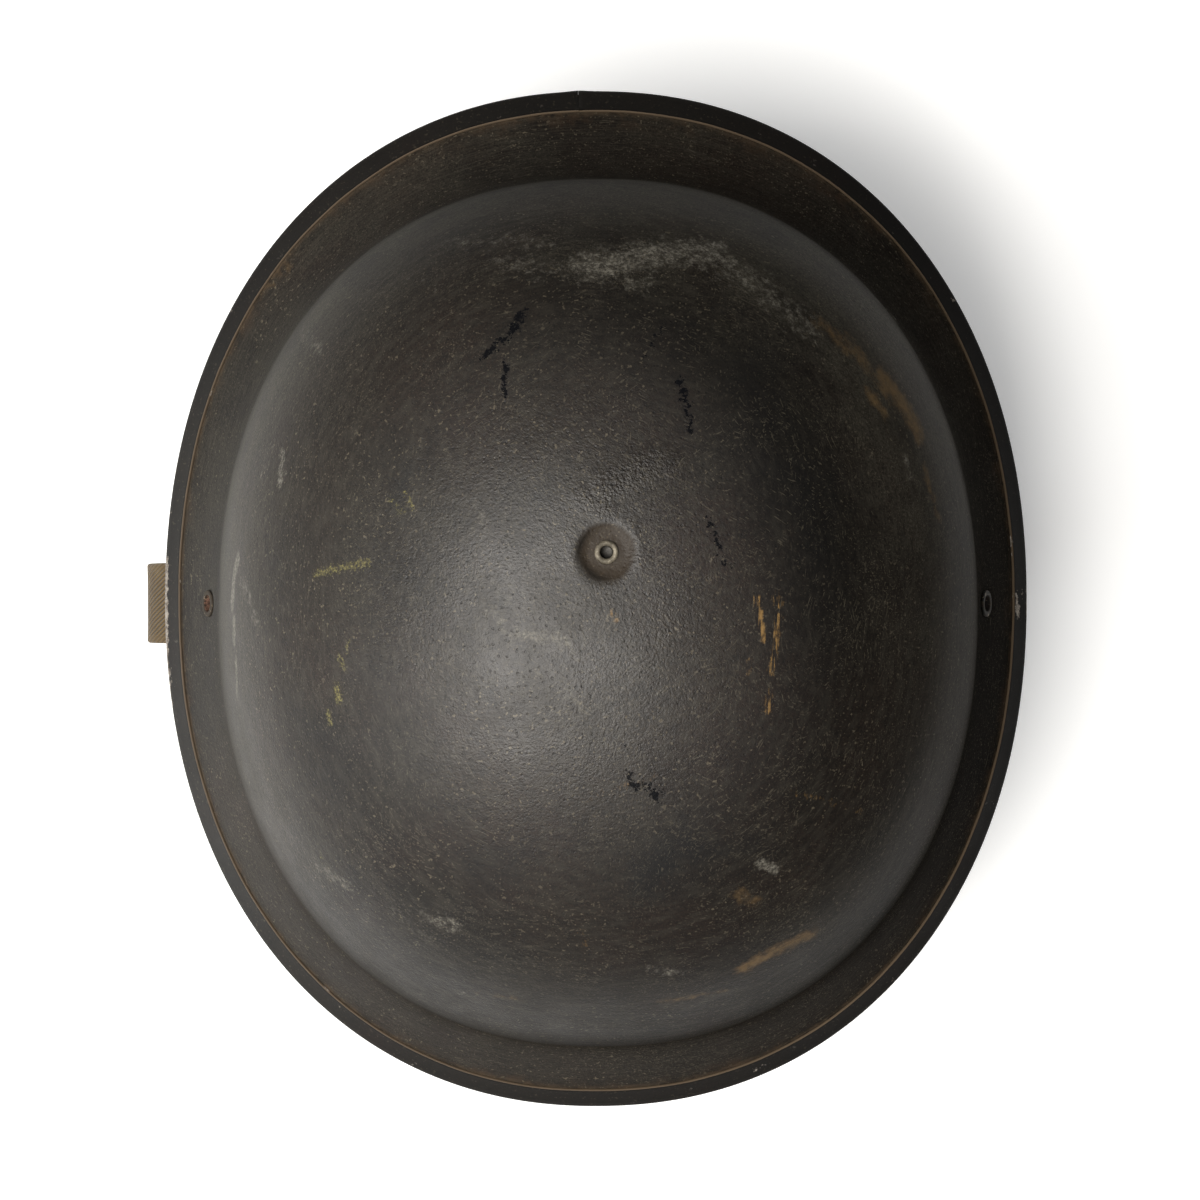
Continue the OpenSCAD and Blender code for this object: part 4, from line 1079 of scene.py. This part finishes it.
def webbing_cloth():
    """Khaki twill: diagonal ribs of two yarns, with faded edges and stains."""
    p = Paintbox("webbing")
    across = p.attribute("across")
    waver = p.math("SUBTRACT", p.noise(180, 2, 0.5), 0.5)
    slant = p.total((p.attribute("along"), RIB_SLANT), (across, 1), (waver, 0.455))
    rib = p.band(p.math("SINE", p.times(slant, TAU/RIB_PITCH)), -0.8, 0.6)
    row = p.total((across, 1), (waver, 0.39))
    yarn = p.band(p.math("SINE", p.times(row, TAU/YARN_PITCH)), -1, 1)
    fuzz = p.noise(3800, 3, 0.75)
    p.colour = p.mix(rib, (54, 42, 24), (97, 77, 44))
    p.coat(yarn, (150, 128, 96), 0.06)
    p.coat(p.band(fuzz, 0.3, 0.8, 0, 0.35), (88, 73, 46))
    p.coat(p.patches(38, 5, 0.65, 0.5, 0.72), (66, 54, 39), 0.5)
    p.coat(p.patches(60, 4, 0.6, 0.5, 0.7, shift=(2, 5, 3)), (142, 122, 84), 0.2)
    selvedge = p.band(p.attribute("edge"), 0.0, 0.25)
    p.coat(selvedge, (86, 69, 42), 0.5)
    rib = p.times(rib, p.band(selvedge, 0, 1, 1.0, 0.3))
    normal = p.bump(0.00035, 1.0, (rib, 1), (yarn, 0.15), (fuzz, 0.4))
    return p.finish(0.92, normal, specular=0.2, Sheen_Weight=0.12, Sheen_Roughness=0.5)


def leather():
    """Brown leather: grain, creases, dark sweat stains and a pale worn upper edge."""
    p = Paintbox("leather")
    tone = p.noise(30, 5, 0.6)
    p.colour = p.mix(p.band(tone, 0.35, 0.68), (64, 43, 30), (100, 70, 48))
    sweat = p.uneven(p.attribute("low"), p.noise(45, 4, 0.65), 1.4)
    p.coat(p.band(sweat, 0.35, 0.85), (40, 26, 18), 0.75)
    warp = p.mix(0.0006, p.place, p.noise(600, 2, 0.6, output="Color"))
    cells = p.voronoi(950, vector=warp)
    p.coat(p.band(cells, 0.0, 0.5, 0.35, 0.0), (124, 94, 68))
    folds = p.math("SUBTRACT", p.strands((50, 50, 260), 4, 0.65), 0.5)
    crease = p.band(p.math("ABSOLUTE", folds), 0.0, 0.03, 1.0, 0.0)
    p.coat(crease, (34, 22, 15), 0.35)
    p.coat(p.times(p.attribute("edge"), p.patches(140, 4, 0.7, 0.35, 0.6)), (150, 116, 82), 0.7)
    normal = p.bump(0.00016, 0.9, (cells, 0.9), (p.noise(2600, 2, 0.6), 0.4), (crease, -0.9))
    return p.finish(p.band(tone, 0.3, 0.7, 0.62, 0.45), normal, specular=0.4)


def fibre():
    """Dark pressed fibre: long faint fibres, scuffs and paler rubbed edges."""
    p = Paintbox("fibre")
    tone = p.noise(55, 4, 0.6)
    p.colour = p.mix(p.band(tone, 0.35, 0.68), (38, 28, 21), (62, 46, 34))
    threads = p.strands((110, 110, 1100), 3, turn=(0.6, 0.5, 0))
    p.coat(p.band(threads, 0.55, 0.72, 0, 0.5), (92, 72, 54))
    p.coat(p.patches(240, 5, 0.75, 0.6, 0.7), (104, 86, 66), 0.4)
    p.coat(p.times(p.attribute("edge"), p.patches(200, 4, 0.7, 0.4, 0.6)), (112, 90, 66), 0.6)
    normal = p.bump(0.0001, 0.8, (threads, 0.7), (p.noise(1500, 2, 0.6), 0.5))
    return p.finish(p.band(tone, 0.3, 0.7, 0.5, 0.7), normal, specular=0.4)


def felt():
    """Grey-brown felt with loose fibres, pilling and a few dark stains."""
    p = Paintbox("felt")
    tone = p.noise(70, 5, 0.65)
    p.colour = p.mix(p.band(tone, 0.35, 0.68), (84, 78, 64), (118, 110, 92))
    lies = [((300, 2600, 2600), (0.3, 0.5, 0.8)), ((2600, 300, 2600), (0.2, 0.9, 0.1))]
    hairs = p.highest(*[p.band(p.strands(scale, 3, 0.7, turn=turn), 0.56, 0.66)
                        for scale, turn in lies])
    p.coat(hairs, (156, 148, 128), 0.5)
    p.coat(p.patches(42, 4, 0.6, 0.54, 0.7, shift=(4, 0, 2)), (60, 50, 38), 0.5)
    normal = p.bump(0.0005, 1.0, (hairs, 0.6), (p.noise(900, 4, 0.75), 1))
    return p.finish(0.95, normal, specular=0.1, Sheen_Weight=0.4, Sheen_Roughness=0.6)


def old_rubber():
    """Black rubber with grey bloom, fine cracks and rubbed corners."""
    p = Paintbox("rubber")
    bloom = p.noise(120, 5, 0.65)
    p.colour = p.mix(p.band(bloom, 0.42, 0.7), (22, 21, 20), (58, 55, 51))
    web = p.voronoi(420, feature="DISTANCE_TO_EDGE")
    cracks = p.times(p.band(web, 0.0, 0.06, 1.0, 0.0), p.patches(130, 3, 0.6, 0.5, 0.62))
    p.coat(cracks, (8, 8, 8), 0.6)
    p.coat(p.patches(1600, 3, 0.7, 0.62, 0.74), (112, 104, 92), 0.35)
    normal = p.bump(0.00012, 0.8, (p.noise(1300, 3, 0.6), 1), (cracks, -1.2))
    return p.finish(p.band(bloom, 0.3, 0.7, 0.55, 0.85), normal, specular=0.35)


def thread(name, light, dark):
    """Twisted sewing thread."""
    p = Paintbox(name)
    twist = p.strands((2600, 2600, 900), turn=(0.7, 0.3, 0))
    p.colour = p.mix(p.band(twist, 0.4, 0.62), dark, light)
    p.coat(p.patches(150, 3, 0.6, 0.5, 0.7, 0, 0.5), dark)
    return p.finish(0.85, p.bump(0.00008, 0.8, (twist, 1)), specular=0.2)


STEEL = metal("dull_steel", (122, 116, 104), (58, 52, 44), (74, 46, 28))
BRASS = metal("old_brass", (136, 117, 80), (88, 74, 50), (56, 52, 38), (0.36, 0.56), 0.62, 0.85,
              3.2)
BLACKENED = metal("blackened_steel", (70, 66, 59), (30, 28, 25), (78, 48, 29), (0.42, 0.62), 0.52,
                  0.6)
THREAD = thread("strap_thread", (176, 164, 134), (116, 102, 78))
WAXED = thread("leather_thread", (120, 100, 72), (58, 42, 28))
FIBRE = fibre()


def dress(material, *nodes):
    """Gives CAD nodes that stay visible their material."""
    for node in nodes:
        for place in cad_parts[node].material_slots:
            place.material = material


# The turned profiles of the crown's stud and of a lug rivet, as (radius, height)
STUD = ([(0.05, 136.9), (1.45, 136.9), (1.6, 137.05)] + arc((2.3, 139.4), 0.7, 180, 0, 13)
        + [(3.0, 139.1), (2.5, 139.05), (2.5, 136.95), (4.4, 136.9)]
        + arc((4.2, 136.6), 0.3, 60, -60, 5) + [(4.4, 135.35), (1.95, 135.3), (1.9, 135.2)]
        + [(1.9, 131.7), (2.1, 131.5)] + arc((1.7, 130.6), 0.8, 45, -40, 7)
        + [(1.9, 129.3), (1.5, 128.9), (0.05, 128.9)])
RIVET = ([(2.4, -4.15), (2.4, -0.1)] + arc((2.78, 0.0), 0.38, 180, 90, 5)
         + arc((3.52, -0.02), 0.38, 90, 0, 5)
         + [(3.9, -0.22), (3.1, -0.26), (3.1, -3.7), (4.1, -3.7)]
         + arc((4.0, -3.95), 0.22, 60, -90, 5) + [(2.6, -4.2)])
STUD_BORE_R, RIVET_BORE_R = 1.6, 2.4


def make_fasteners():
    """The crown's tubular stud and the two lug rivets, all with rolled lips."""
    turned("crown_fastener", STUD, (0, CROWN_Y, 0), 0, "helmet", stud_metal(), ["crown_stud"],
           STUD_BORE_R)
    # The right rivet's flange and bore are near-black: painted shade for the side away from the
    # lamps.
    for side, hand, inside, outside in ((1, "left", (112, 84, 70), (50, 43, 36)),
                                        (-1, "right", (16, 13, 11), (17, 16, 14))):
        turned("tubular_rivet_" + hand, RIVET, (side*LUG.x, LUG.y, LUG.z), LUG_LEAN, "helmet",
               rivet_metal("rivet_metal_" + hand, inside, outside), ["lug_rivet_" + hand],
               RIVET_BORE_R, closed=True, side=side)


# Chinstrap: its middle line in the plane across the helmet, as (x, z)

STRAP_W, STRAP_T = 25, 2.0
BAIL_X, BAIL_LOW = 110.082, -1.185
LAYER, WRAP_R, MERGE = 1.1, 2.3, 8
CHIN, BULGE = np.array([6.0, -118.0]), np.array([139.7, -54.0])
LEFT_LEAN, TAIL_LEAN = math.radians(28), math.radians(14)
TAIL_RUN, SEWN, SEAM_INSET, STITCH_PITCH = 62, 28, 2.5, 2.6


def bezier(p, q, r, s, steps=60):
    f = np.linspace(0, 1, steps)[:, None]
    p, q, r, s = (np.asarray(v, float) for v in (p, q, r, s))
    return p*(1 - f)**3 + 3*q*f*(1 - f)**2 + 3*r*f*f*(1 - f) + s*f**3


def at_bail(side, lean, u, w):
    return np.array([side*(BAIL_X + u*math.sin(lean) + w*math.cos(lean)),
                     BAIL_LOW - u*math.cos(lean) + w*math.sin(lean)])


def over_bar(side, lean):
    outer = bezier((MERGE, LAYER), (MERGE*0.6, LAYER), (MERGE*0.4, WRAP_R), (0, WRAP_R), 16)
    turn = [(-WRAP_R*math.sin(a), WRAP_R*math.cos(a)) for a in np.linspace(0, math.pi, 25)[1:-1]]
    local = list(outer) + turn + [(u, -w) for u, w in outer[::-1]]
    return np.array([at_bail(side, lean, u, w) for u, w in local])


def strap_line():
    tail_way = np.array([math.sin(TAIL_LEAN), -math.cos(TAIL_LEAN)])
    half_way = np.array([math.sin(TAIL_LEAN/2), -math.cos(TAIL_LEAN/2)])
    bend = at_bail(-1, 0, TAIL_RUN, -LAYER)
    knee = bend + 8*half_way
    tip = knee + 13*tail_way
    right_low = at_bail(-1, 0, TAIL_RUN + 12, LAYER)
    left_low = at_bail(1, LEFT_LEAN, SEWN, LAYER)
    left_way = np.array([math.sin(LEFT_LEAN), -math.cos(LEFT_LEAN)])
    return np.concatenate([
        [tip], bezier(bend, bend - (0, 3), knee - 3*tail_way, knee, 20)[::-1],
        over_bar(-1, 0)[::-1],
        bezier(right_low, right_low - (0, 28), CHIN - (60, 0), CHIN),
        bezier(CHIN, CHIN + (55, 0), BULGE - (0, 38), BULGE),
        bezier(BULGE, BULGE + (0, 12), left_low + 14*left_way, left_low, 40),
        over_bar(1, LEFT_LEAN), [at_bail(1, LEFT_LEAN, SEWN, -LAYER)]])


def worn_webbing(along, across, lift):
    """The free parts of the strap cup a little and their edges waver."""
    free = smoothstep(125, 175, along)*(1 - smoothstep(430, 470, along))
    cup = free*(0.9*(np.abs(across)/12.5)**3 - 0.15*np.sin(along/31))
    waver = 0.14*np.sin(along/6.1) + 0.1*np.sin(along/2.7 + 1)
    twist = free*0.035*across*np.sin(along/70 + 0.6)
    return across*(1 + 0.01*waver), lift - cup + twist + 0.05*waver*np.sign(lift)


def make_chinstrap():
    line, along = resampled(strap_line(), 0.5)
    path = np.stack([line[:, 0], np.full(len(line), LUG.y), line[:, 1]], -1)
    section = strip_section(STRAP_W, STRAP_T, 0.9)
    strip("webbing_strap", path, along, (0, 1, 0), section, "chinstrap", webbing_cloth(),
          ["chinstrap_webbing"], worn_webbing)

    def on_sewn(u, y, layer_side):
        x, z = at_bail(1, LEFT_LEAN, u, layer_side*(LAYER + STRAP_T/2 + 0.02))
        return [x, LUG.y + y, z]

    outward = np.array([math.cos(LEFT_LEAN), 0, math.sin(LEFT_LEAN)])
    seams, ups = [], []
    near, far, wide = MERGE + 3, SEWN - SEAM_INSET, STRAP_W/2 - SEAM_INSET + 0.2
    box = [(near, -wide), (near, wide), (far, wide), (far, -wide), (near, -wide)]
    lines = [*zip(box, box[1:]), (box[0], box[2]), (box[3], box[1])]
    for layer_side in (1, -1):
        for (u0, y0), (u1, y1) in lines:
            count = max(round(math.hypot(u1 - u0, y1 - y0)/STITCH_PITCH), 2)
            seam = [on_sewn(u0 + (u1 - u0)*i/count, y0 + (y1 - y0)*i/count, layer_side)
                    for i in range(count + 1)]
            seams.append(seam)
            ups.append(np.tile(outward*layer_side, (count + 1, 1)))
    stitches("strap_stitching", seams, ups, "chinstrap", THREAD, 0.34, 0.76, 0.3)


# Harness

HOOP_W, HOOP_L, HOOP_Y = 80, 100, 2
HOOP_LOW, HOOP_TOP, HOOP_T = 24, 52, 1.6
BAND_TOP, LEATHER_T = 55, 1.9
CREASES, SWEATBAND_STITCHES = 46, 150


def hoop_oval(angle, out):
    """Plan of the hoop's inner face moved outward."""
    return oval(angle, HOOP_W + out, HOOP_L + out, BOWL_SQUARENESS) + (0, HOOP_Y)


def make_hoop():
    section = [(0, HOOP_LOW + 0.3), (0.3, HOOP_LOW), (HOOP_T - 0.3, HOOP_LOW),
               (HOOP_T, HOOP_LOW + 0.3), (HOOP_T, 31), (HOOP_T, 38), (HOOP_T, 45),
               (HOOP_T, HOOP_TOP - 0.4), (HOOP_T - 0.4, HOOP_TOP), (0.4, HOOP_TOP),
               (0, HOOP_TOP - 0.4), (0, 45), (0, 38), (0, 31)]
    angle = np.linspace(0, TAU, 360, endpoint=False)
    points = np.array([raised(hoop_oval(angle, out), z) for out, z in section]).reshape(-1, 3)
    edge = np.repeat([1.0 if z < HOOP_LOW + 1 or z > HOOP_TOP - 1 else 0 for _, z in section],
                     len(angle))
    build("head_hoop", points, net(len(section), len(angle), True, True), "liner", FIBRE,
          ["liner_hoop"], {"edge": edge})


def make_sweatband():
    """Leather folded round the hoop's lower edge, puckered and creased towards its top."""
    inner_leg = [(-1.05, z) for z in np.linspace(BAND_TOP, 25, 26)]
    fold = [(0.8 + 1.85*math.cos(t), 24.3 + 1.35*math.sin(t))
            for t in np.linspace(math.pi, TAU, 12)]
    middle, _ = resampled(inner_leg + fold + [(2.65, 27.5)], 0.9)
    way = unit(np.gradient(middle, axis=0))
    side = np.stack([-way[:, 1], way[:, 0]], -1)*LEATHER_T/2
    ends = [way[0]*-0.5, way[-1]*0.5]
    loop = np.concatenate([middle - side, [middle[-1] - side[-1]*0.5 + ends[1]],
                           [middle[-1] + side[-1]*0.5 + ends[1]], (middle + side)[::-1],
                           [middle[0] + side[0]*0.5 + ends[0]],
                           [middle[0] - side[0]*0.5 + ends[0]]])
    angle = np.linspace(0, TAU, 900, endpoint=False)
    creases = [(random.uniform(0, TAU), random.uniform(0.006, 0.016), random.uniform(0.15, 0.45))
               for _ in range(CREASES)]
    wrinkle = np.zeros_like(angle)
    for centre, width, depth in creases:
        gap = (angle - centre + math.pi) % TAU - math.pi
        wrinkle += depth*np.exp(-(gap/width)**2)
    pucker = 0.45*np.sin(11*angle + 0.5) + 0.3*np.sin(23*angle + 2) + 0.2*np.sin(37*angle)
    top_wave = 0.5*np.sin(5*angle + 1) + 0.3*np.sin(13*angle) + 0.15*np.sin(41*angle + 2)
    loops, low, edge = [], [], []
    for out, z in loop:
        share = smoothstep(28, BAND_TOP, z) if out < 0.5 else 0.0
        moved = out - share*(0.5 + pucker + wrinkle) + (0 if out > 0.5 else 0.25*wrinkle)
        height = z + share**2*(top_wave - 0.4)
        loops.append(raised(hoop_oval(angle, moved), height))
        low.append(np.full(len(angle), 1 - smoothstep(24, 44, z)))
        edge.append(np.full(len(angle), max(smoothstep(BAND_TOP - 1.2, BAND_TOP, z),
                                            smoothstep(26.6, 27.6, z)*(out > 1))))
    points = np.array(loops).reshape(-1, 3)
    values = {"low": np.concatenate(low), "edge": np.concatenate(edge)}
    build("leather_sweatband", points, net(len(loop), len(angle), True, True), "liner",
          leather(), ["sweatband"], values)

    seam_angle = np.linspace(0, TAU, SWEATBAND_STITCHES + 1)
    seams, ups = [], []
    for out, z, sign in ((3.62, 26.3, 1), (-2.0, 26.3, -1)):
        plan = hoop_oval(seam_angle, out)
        seams.append(raised(plan, z))
        ups.append(raised(sign*unit(plan - (0, HOOP_Y)), 0))
    stitches("sweatband_stitching", seams, ups, "liner", WAXED, 0.3, 0.7, 0.25)


ARCH_TOP, ARCH_SPRING, ARCH_SQUARENESS, STRAP_FOOT = 129, 52, 2.1, 30
LONG_REACH, WIDE_REACH, WIDE_FALL = (88.3, 116.3), (82.6, 82.6), 1.857
CROSS_T, CROSS_W = 1.2, 24


def arch_line(fall, reach):
    t = np.linspace(0, math.pi, 240)
    side = np.where(np.cos(t) > 0, reach[1], -reach[0])*np.abs(np.cos(t))**(2/ARCH_SQUARENESS)
    up = ARCH_SPRING + (ARCH_TOP - fall - ARCH_SPRING)*np.sin(t)**(2/ARCH_SQUARENESS)
    line = np.stack([side, up], -1)
    return np.concatenate([[[line[0, 0], STRAP_FOOT]], line, [[line[-1, 0], STRAP_FOOT]]])


def make_cross_straps():
    section = strip_section(CROSS_W, CROSS_T, 0.5)

    def worn(along, across, lift):
        return across + 0.12*np.sin(along/9 + 1), lift + 0.06*np.sin(along/17)

    line, along = resampled(arch_line(CROSS_T/2, LONG_REACH), 1.0)
    path = np.stack([np.zeros(len(line)), CROWN_Y + line[:, 0], line[:, 1]], -1)
    strip("harness_strap_long", path, along, (1, 0, 0), section, "liner", FIBRE,
          ["cross_strap_long"], worn)
    line, along = resampled(arch_line(CROSS_T/2 + WIDE_FALL, WIDE_REACH), 1.0)
    path = np.stack([line[:, 0], np.full(len(line), float(CROWN_Y)), line[:, 1]], -1)
    strip("harness_strap_wide", path, along, (0, 1, 0), section, "liner", FIBRE,
          ["cross_strap_wide"], worn)


PAD_INSET, PAD_GRID = 0.9*MM, 2.5*MM
CLOTH_STEPS, CLOTH_PRESSURE = 14, 4


def make_crown_pad():
    """The felt cross: its CAD shape shrunk, remeshed and blown up a little by cloth."""
    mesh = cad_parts["crown_pad"].data.copy()
    mesh.name = "felt_crown_pad"
    pad = bpy.data.objects.new("felt_crown_pad", mesh)
    bpy.context.collection.objects.link(pad)
    grid = pad.modifiers.new("remesh", "REMESH")
    grid.mode = "VOXEL"
    grid.voxel_size = PAD_GRID
    apply_modifiers(pad)
    mesh = pad.data
    count = len(mesh.vertices)
    before = np.empty(count*3)
    mesh.vertices.foreach_get("co", before)
    normals = np.empty(count*3)
    mesh.vertices.foreach_get("normal", normals)
    before = before.reshape(-1, 3) - normals.reshape(-1, 3)*PAD_INSET
    mesh.vertices.foreach_set("co", before.ravel())
    mesh.update()
    cloth = pad.modifiers.new("cloth", "CLOTH")
    cloth.settings.use_pressure = True
    cloth.settings.uniform_pressure_force = CLOTH_PRESSURE
    cloth.settings.effector_weights.gravity = 0
    cloth.settings.quality = 4
    for step in range(CLOTH_STEPS):
        bpy.context.scene.frame_set(step + 1)
    apply_modifiers(pad)
    bpy.context.scene.frame_set(1)
    mesh = pad.data
    after = np.empty(count*3)
    mesh.vertices.foreach_get("co", after)
    moved = after.reshape(-1, 3) - before
    far = np.linalg.norm(moved, axis=1, keepdims=True)
    after = before + moved*np.minimum(1, PAD_INSET/np.maximum(far, 1e-9))
    mesh.vertices.foreach_set("co", after.ravel())
    soft = pad.modifiers.new("soft", "LAPLACIANSMOOTH")
    soft.lambda_factor = 0.4
    soft.iterations = 3
    finer = pad.modifiers.new("finer", "SUBSURF")
    finer.levels = finer.render_levels = 1
    apply_modifiers(pad)
    pad.data.materials.clear()
    pad.data.materials.append(felt())
    pad.data.shade_smooth()
    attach(pad, "liner")
    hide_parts("crown_pad")


BUFFER_ANGLES = [30, 60, 120, 150, 210, 240, 300, 330]
BUFFER_W, BUFFER_T, BUFFER_H, BUFFER_MIDDLE = 22, 15, 20, 39
BUFFER_BEVEL, GROOVE_DEPTH, GROOVES = 3, 0.55, (-0.42, 0.42)


def buffer_outline(here, out, tangent):
    """A buffer's outline as (out, beside), whose back follows the hoop, and that back's curve."""
    local = hoop_oval(np.linspace(0, TAU, 2880, endpoint=False), HOOP_T) - here
    back_x, back_y = local @ out, local @ tangent
    near = (np.abs(back_y) < BUFFER_W) & (back_x > -30)
    order = np.argsort(back_y[near])
    curve = back_y[near][order], back_x[near][order]
    half = BUFFER_W/2
    front = [(BUFFER_T - BUFFER_BEVEL, -half), (BUFFER_T, BUFFER_BEVEL - half),
             (BUFFER_T, half - BUFFER_BEVEL), (BUFFER_T - BUFFER_BEVEL, half)]
    back = [(float(np.interp(y, *curve)) + 0.08, y)
            for y in np.linspace(half - 0.4, -half + 0.4, 14)]
    outline, _ = resampled([back[-1], (back[-1][0] + 0.4, -half)] + front
                           + [(back[0][0] + 0.4, half)] + back, 0.8)
    outline = outline[:-1]
    for _ in range(2):
        outline = (np.roll(outline, 1, 0) + 2*outline + np.roll(outline, -1, 0))/4
    return outline, curve


def make_buffer(number, degrees, material):
    """A rubber block between hoop and steel, with round corners and two grooves."""
    a = math.radians(degrees)
    here, ahead, behind = (hoop_oval(a + math.radians(d), HOOP_T) for d in (0, 1, -1))
    tangent = unit(ahead - behind)
    out = np.array([tangent[1], -tangent[0]])
    outline, curve = buffer_outline(here, out, tangent)
    centre = outline.mean(axis=0)
    away = outline - centre
    length = np.linalg.norm(away, axis=1, keepdims=True)
    off_back = smoothstep(0.5, 2.5, outline[:, :1] - np.interp(outline[:, 1:], *curve))
    loops = []
    for h in np.linspace(-1, 1, 31):
        shrink = 0.9*(1 - (1 - smoothstep(0.86, 1.0, abs(h)))**0.5)
        groove = GROOVE_DEPTH*sum(math.exp(-((h - middle)/0.07)**2) for middle in GROOVES)
        loops.append((centre + away*(1 - (shrink + groove*off_back)/length), h))
    rings = ([(centre + (loops[0][0] - centre)*k, -1) for k in (0.15, 0.5, 0.85)] + loops
             + [(centre + (loops[-1][0] - centre)*k, 1) for k in (0.85, 0.5, 0.15)])
    points = [raised(here + flat[:, :1]*out + flat[:, 1:]*tangent, BUFFER_MIDDLE + h*BUFFER_H/2)
              for flat, h in rings]
    faces = net(len(rings), len(outline), close_columns=True) + end_caps(len(rings), len(outline))
    build("moulded_buffer_" + number, np.concatenate(points), faces, "liner", material,
          ["rubber_buffer_" + number])


def make_buffers():
    rubber = old_rubber()
    for index, degrees in enumerate(BUFFER_ANGLES):
        make_buffer(str(index + 1), degrees, rubber)


make_fasteners()
make_chinstrap()
make_hoop()
make_sweatband()
make_cross_straps()
make_crown_pad()
make_buffers()
dress(STEEL, "crown_washer", "dot_spring", "bail_left", "bail_right")
dress(BLACKENED, "lug_washer_left", "lug_washer_right", "chin_lug_left", "chin_lug_right",
      *["buffer_clip_" + str(i + 1) for i in range(8)])
dress(BRASS, "strap_tip", "strap_slider", "dot_socket", "socket_backplate", "cross_strap_rivets")


# Floor and light, in metres and watts

FLOOR_R, FLOOR_GLOW = 4.0, 0.35
ROOM, ROOM_DIM, ROOM_PALE = (0.98, 0.99, 1.0, 1), 0.05, 0.6
KEY_PIXEL, KEY_FAR, KEY_SIZE, KEY_WATTS = (515, 650), 1.25, (0.72, 0.72), 32
SIDE_PLACE, SIDE_SIZE, SIDE_WATTS = (1.2, 0.5, 0.35), (0.8, 0.5), 5
LIT_MIDDLE = (0, 0, 0.06)


def add_floor():
    p = Paintbox("floor")
    p.colour = (250, 250, 249)
    p.finish(0.9, specular=0.1, Emission_Color=(1, 1, 1, 1),
             Emission_Strength=p.times(p.seen(), FLOOR_GLOW))
    mesh = bpy.data.meshes.new("floor")
    disc = bmesh.new()
    bmesh.ops.create_circle(disc, cap_ends=True, segments=96, radius=FLOOR_R)
    disc.to_mesh(mesh)
    disc.free()
    mesh.materials.append(p.material)
    floor = bpy.data.objects.new("floor", mesh)
    floor.location.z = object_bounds()[0][2] - FLOOR_GAP
    bpy.context.collection.objects.link(floor)


def add_room():
    """A room that is dim above and shows a pale wall round the horizon."""
    world = bpy.data.worlds.new("world")
    bpy.context.scene.world = world
    w = Paintbox.of(world)
    parts = w.add("ShaderNodeSeparateXYZ")
    w.put(parts.inputs, Vector=w.add("ShaderNodeTexCoord").outputs["Generated"])
    pale = w.times(w.band(parts.outputs["Z"], 0.25, 0.7, 1, 0), w.seen())
    w.put(w.tree.nodes["Background"].inputs, Color=ROOM,
          Strength=w.band(pale, 0, 1, ROOM_DIM, ROOM_PALE))
    bpy.context.scene.view_settings.view_transform = "Standard"


def add_lights():
    """The key hangs where the dome mirrors it at its brightest pixel, with a weak one beside."""
    spot = on_shell(*KEY_PIXEL)
    near = np.linalg.norm(outer_points.reshape(-1, 3) - spot, axis=1).argmin()
    normal = Vector(true_normals.reshape(-1, 3)[near])
    ray = pixel_ray(*KEY_PIXEL)
    mirror = ray - 2*ray.dot(normal)*normal
    add_softbox("key", Vector(spot)*MM + mirror*KEY_FAR, LIT_MIDDLE, KEY_SIZE, KEY_WATTS,
                (1.0, 0.975, 0.94))
    add_softbox("side", SIDE_PLACE, LIT_MIDDLE, SIDE_SIZE, SIDE_WATTS, (0.94, 0.98, 1.0))


add_floor()
add_room()
add_lights()
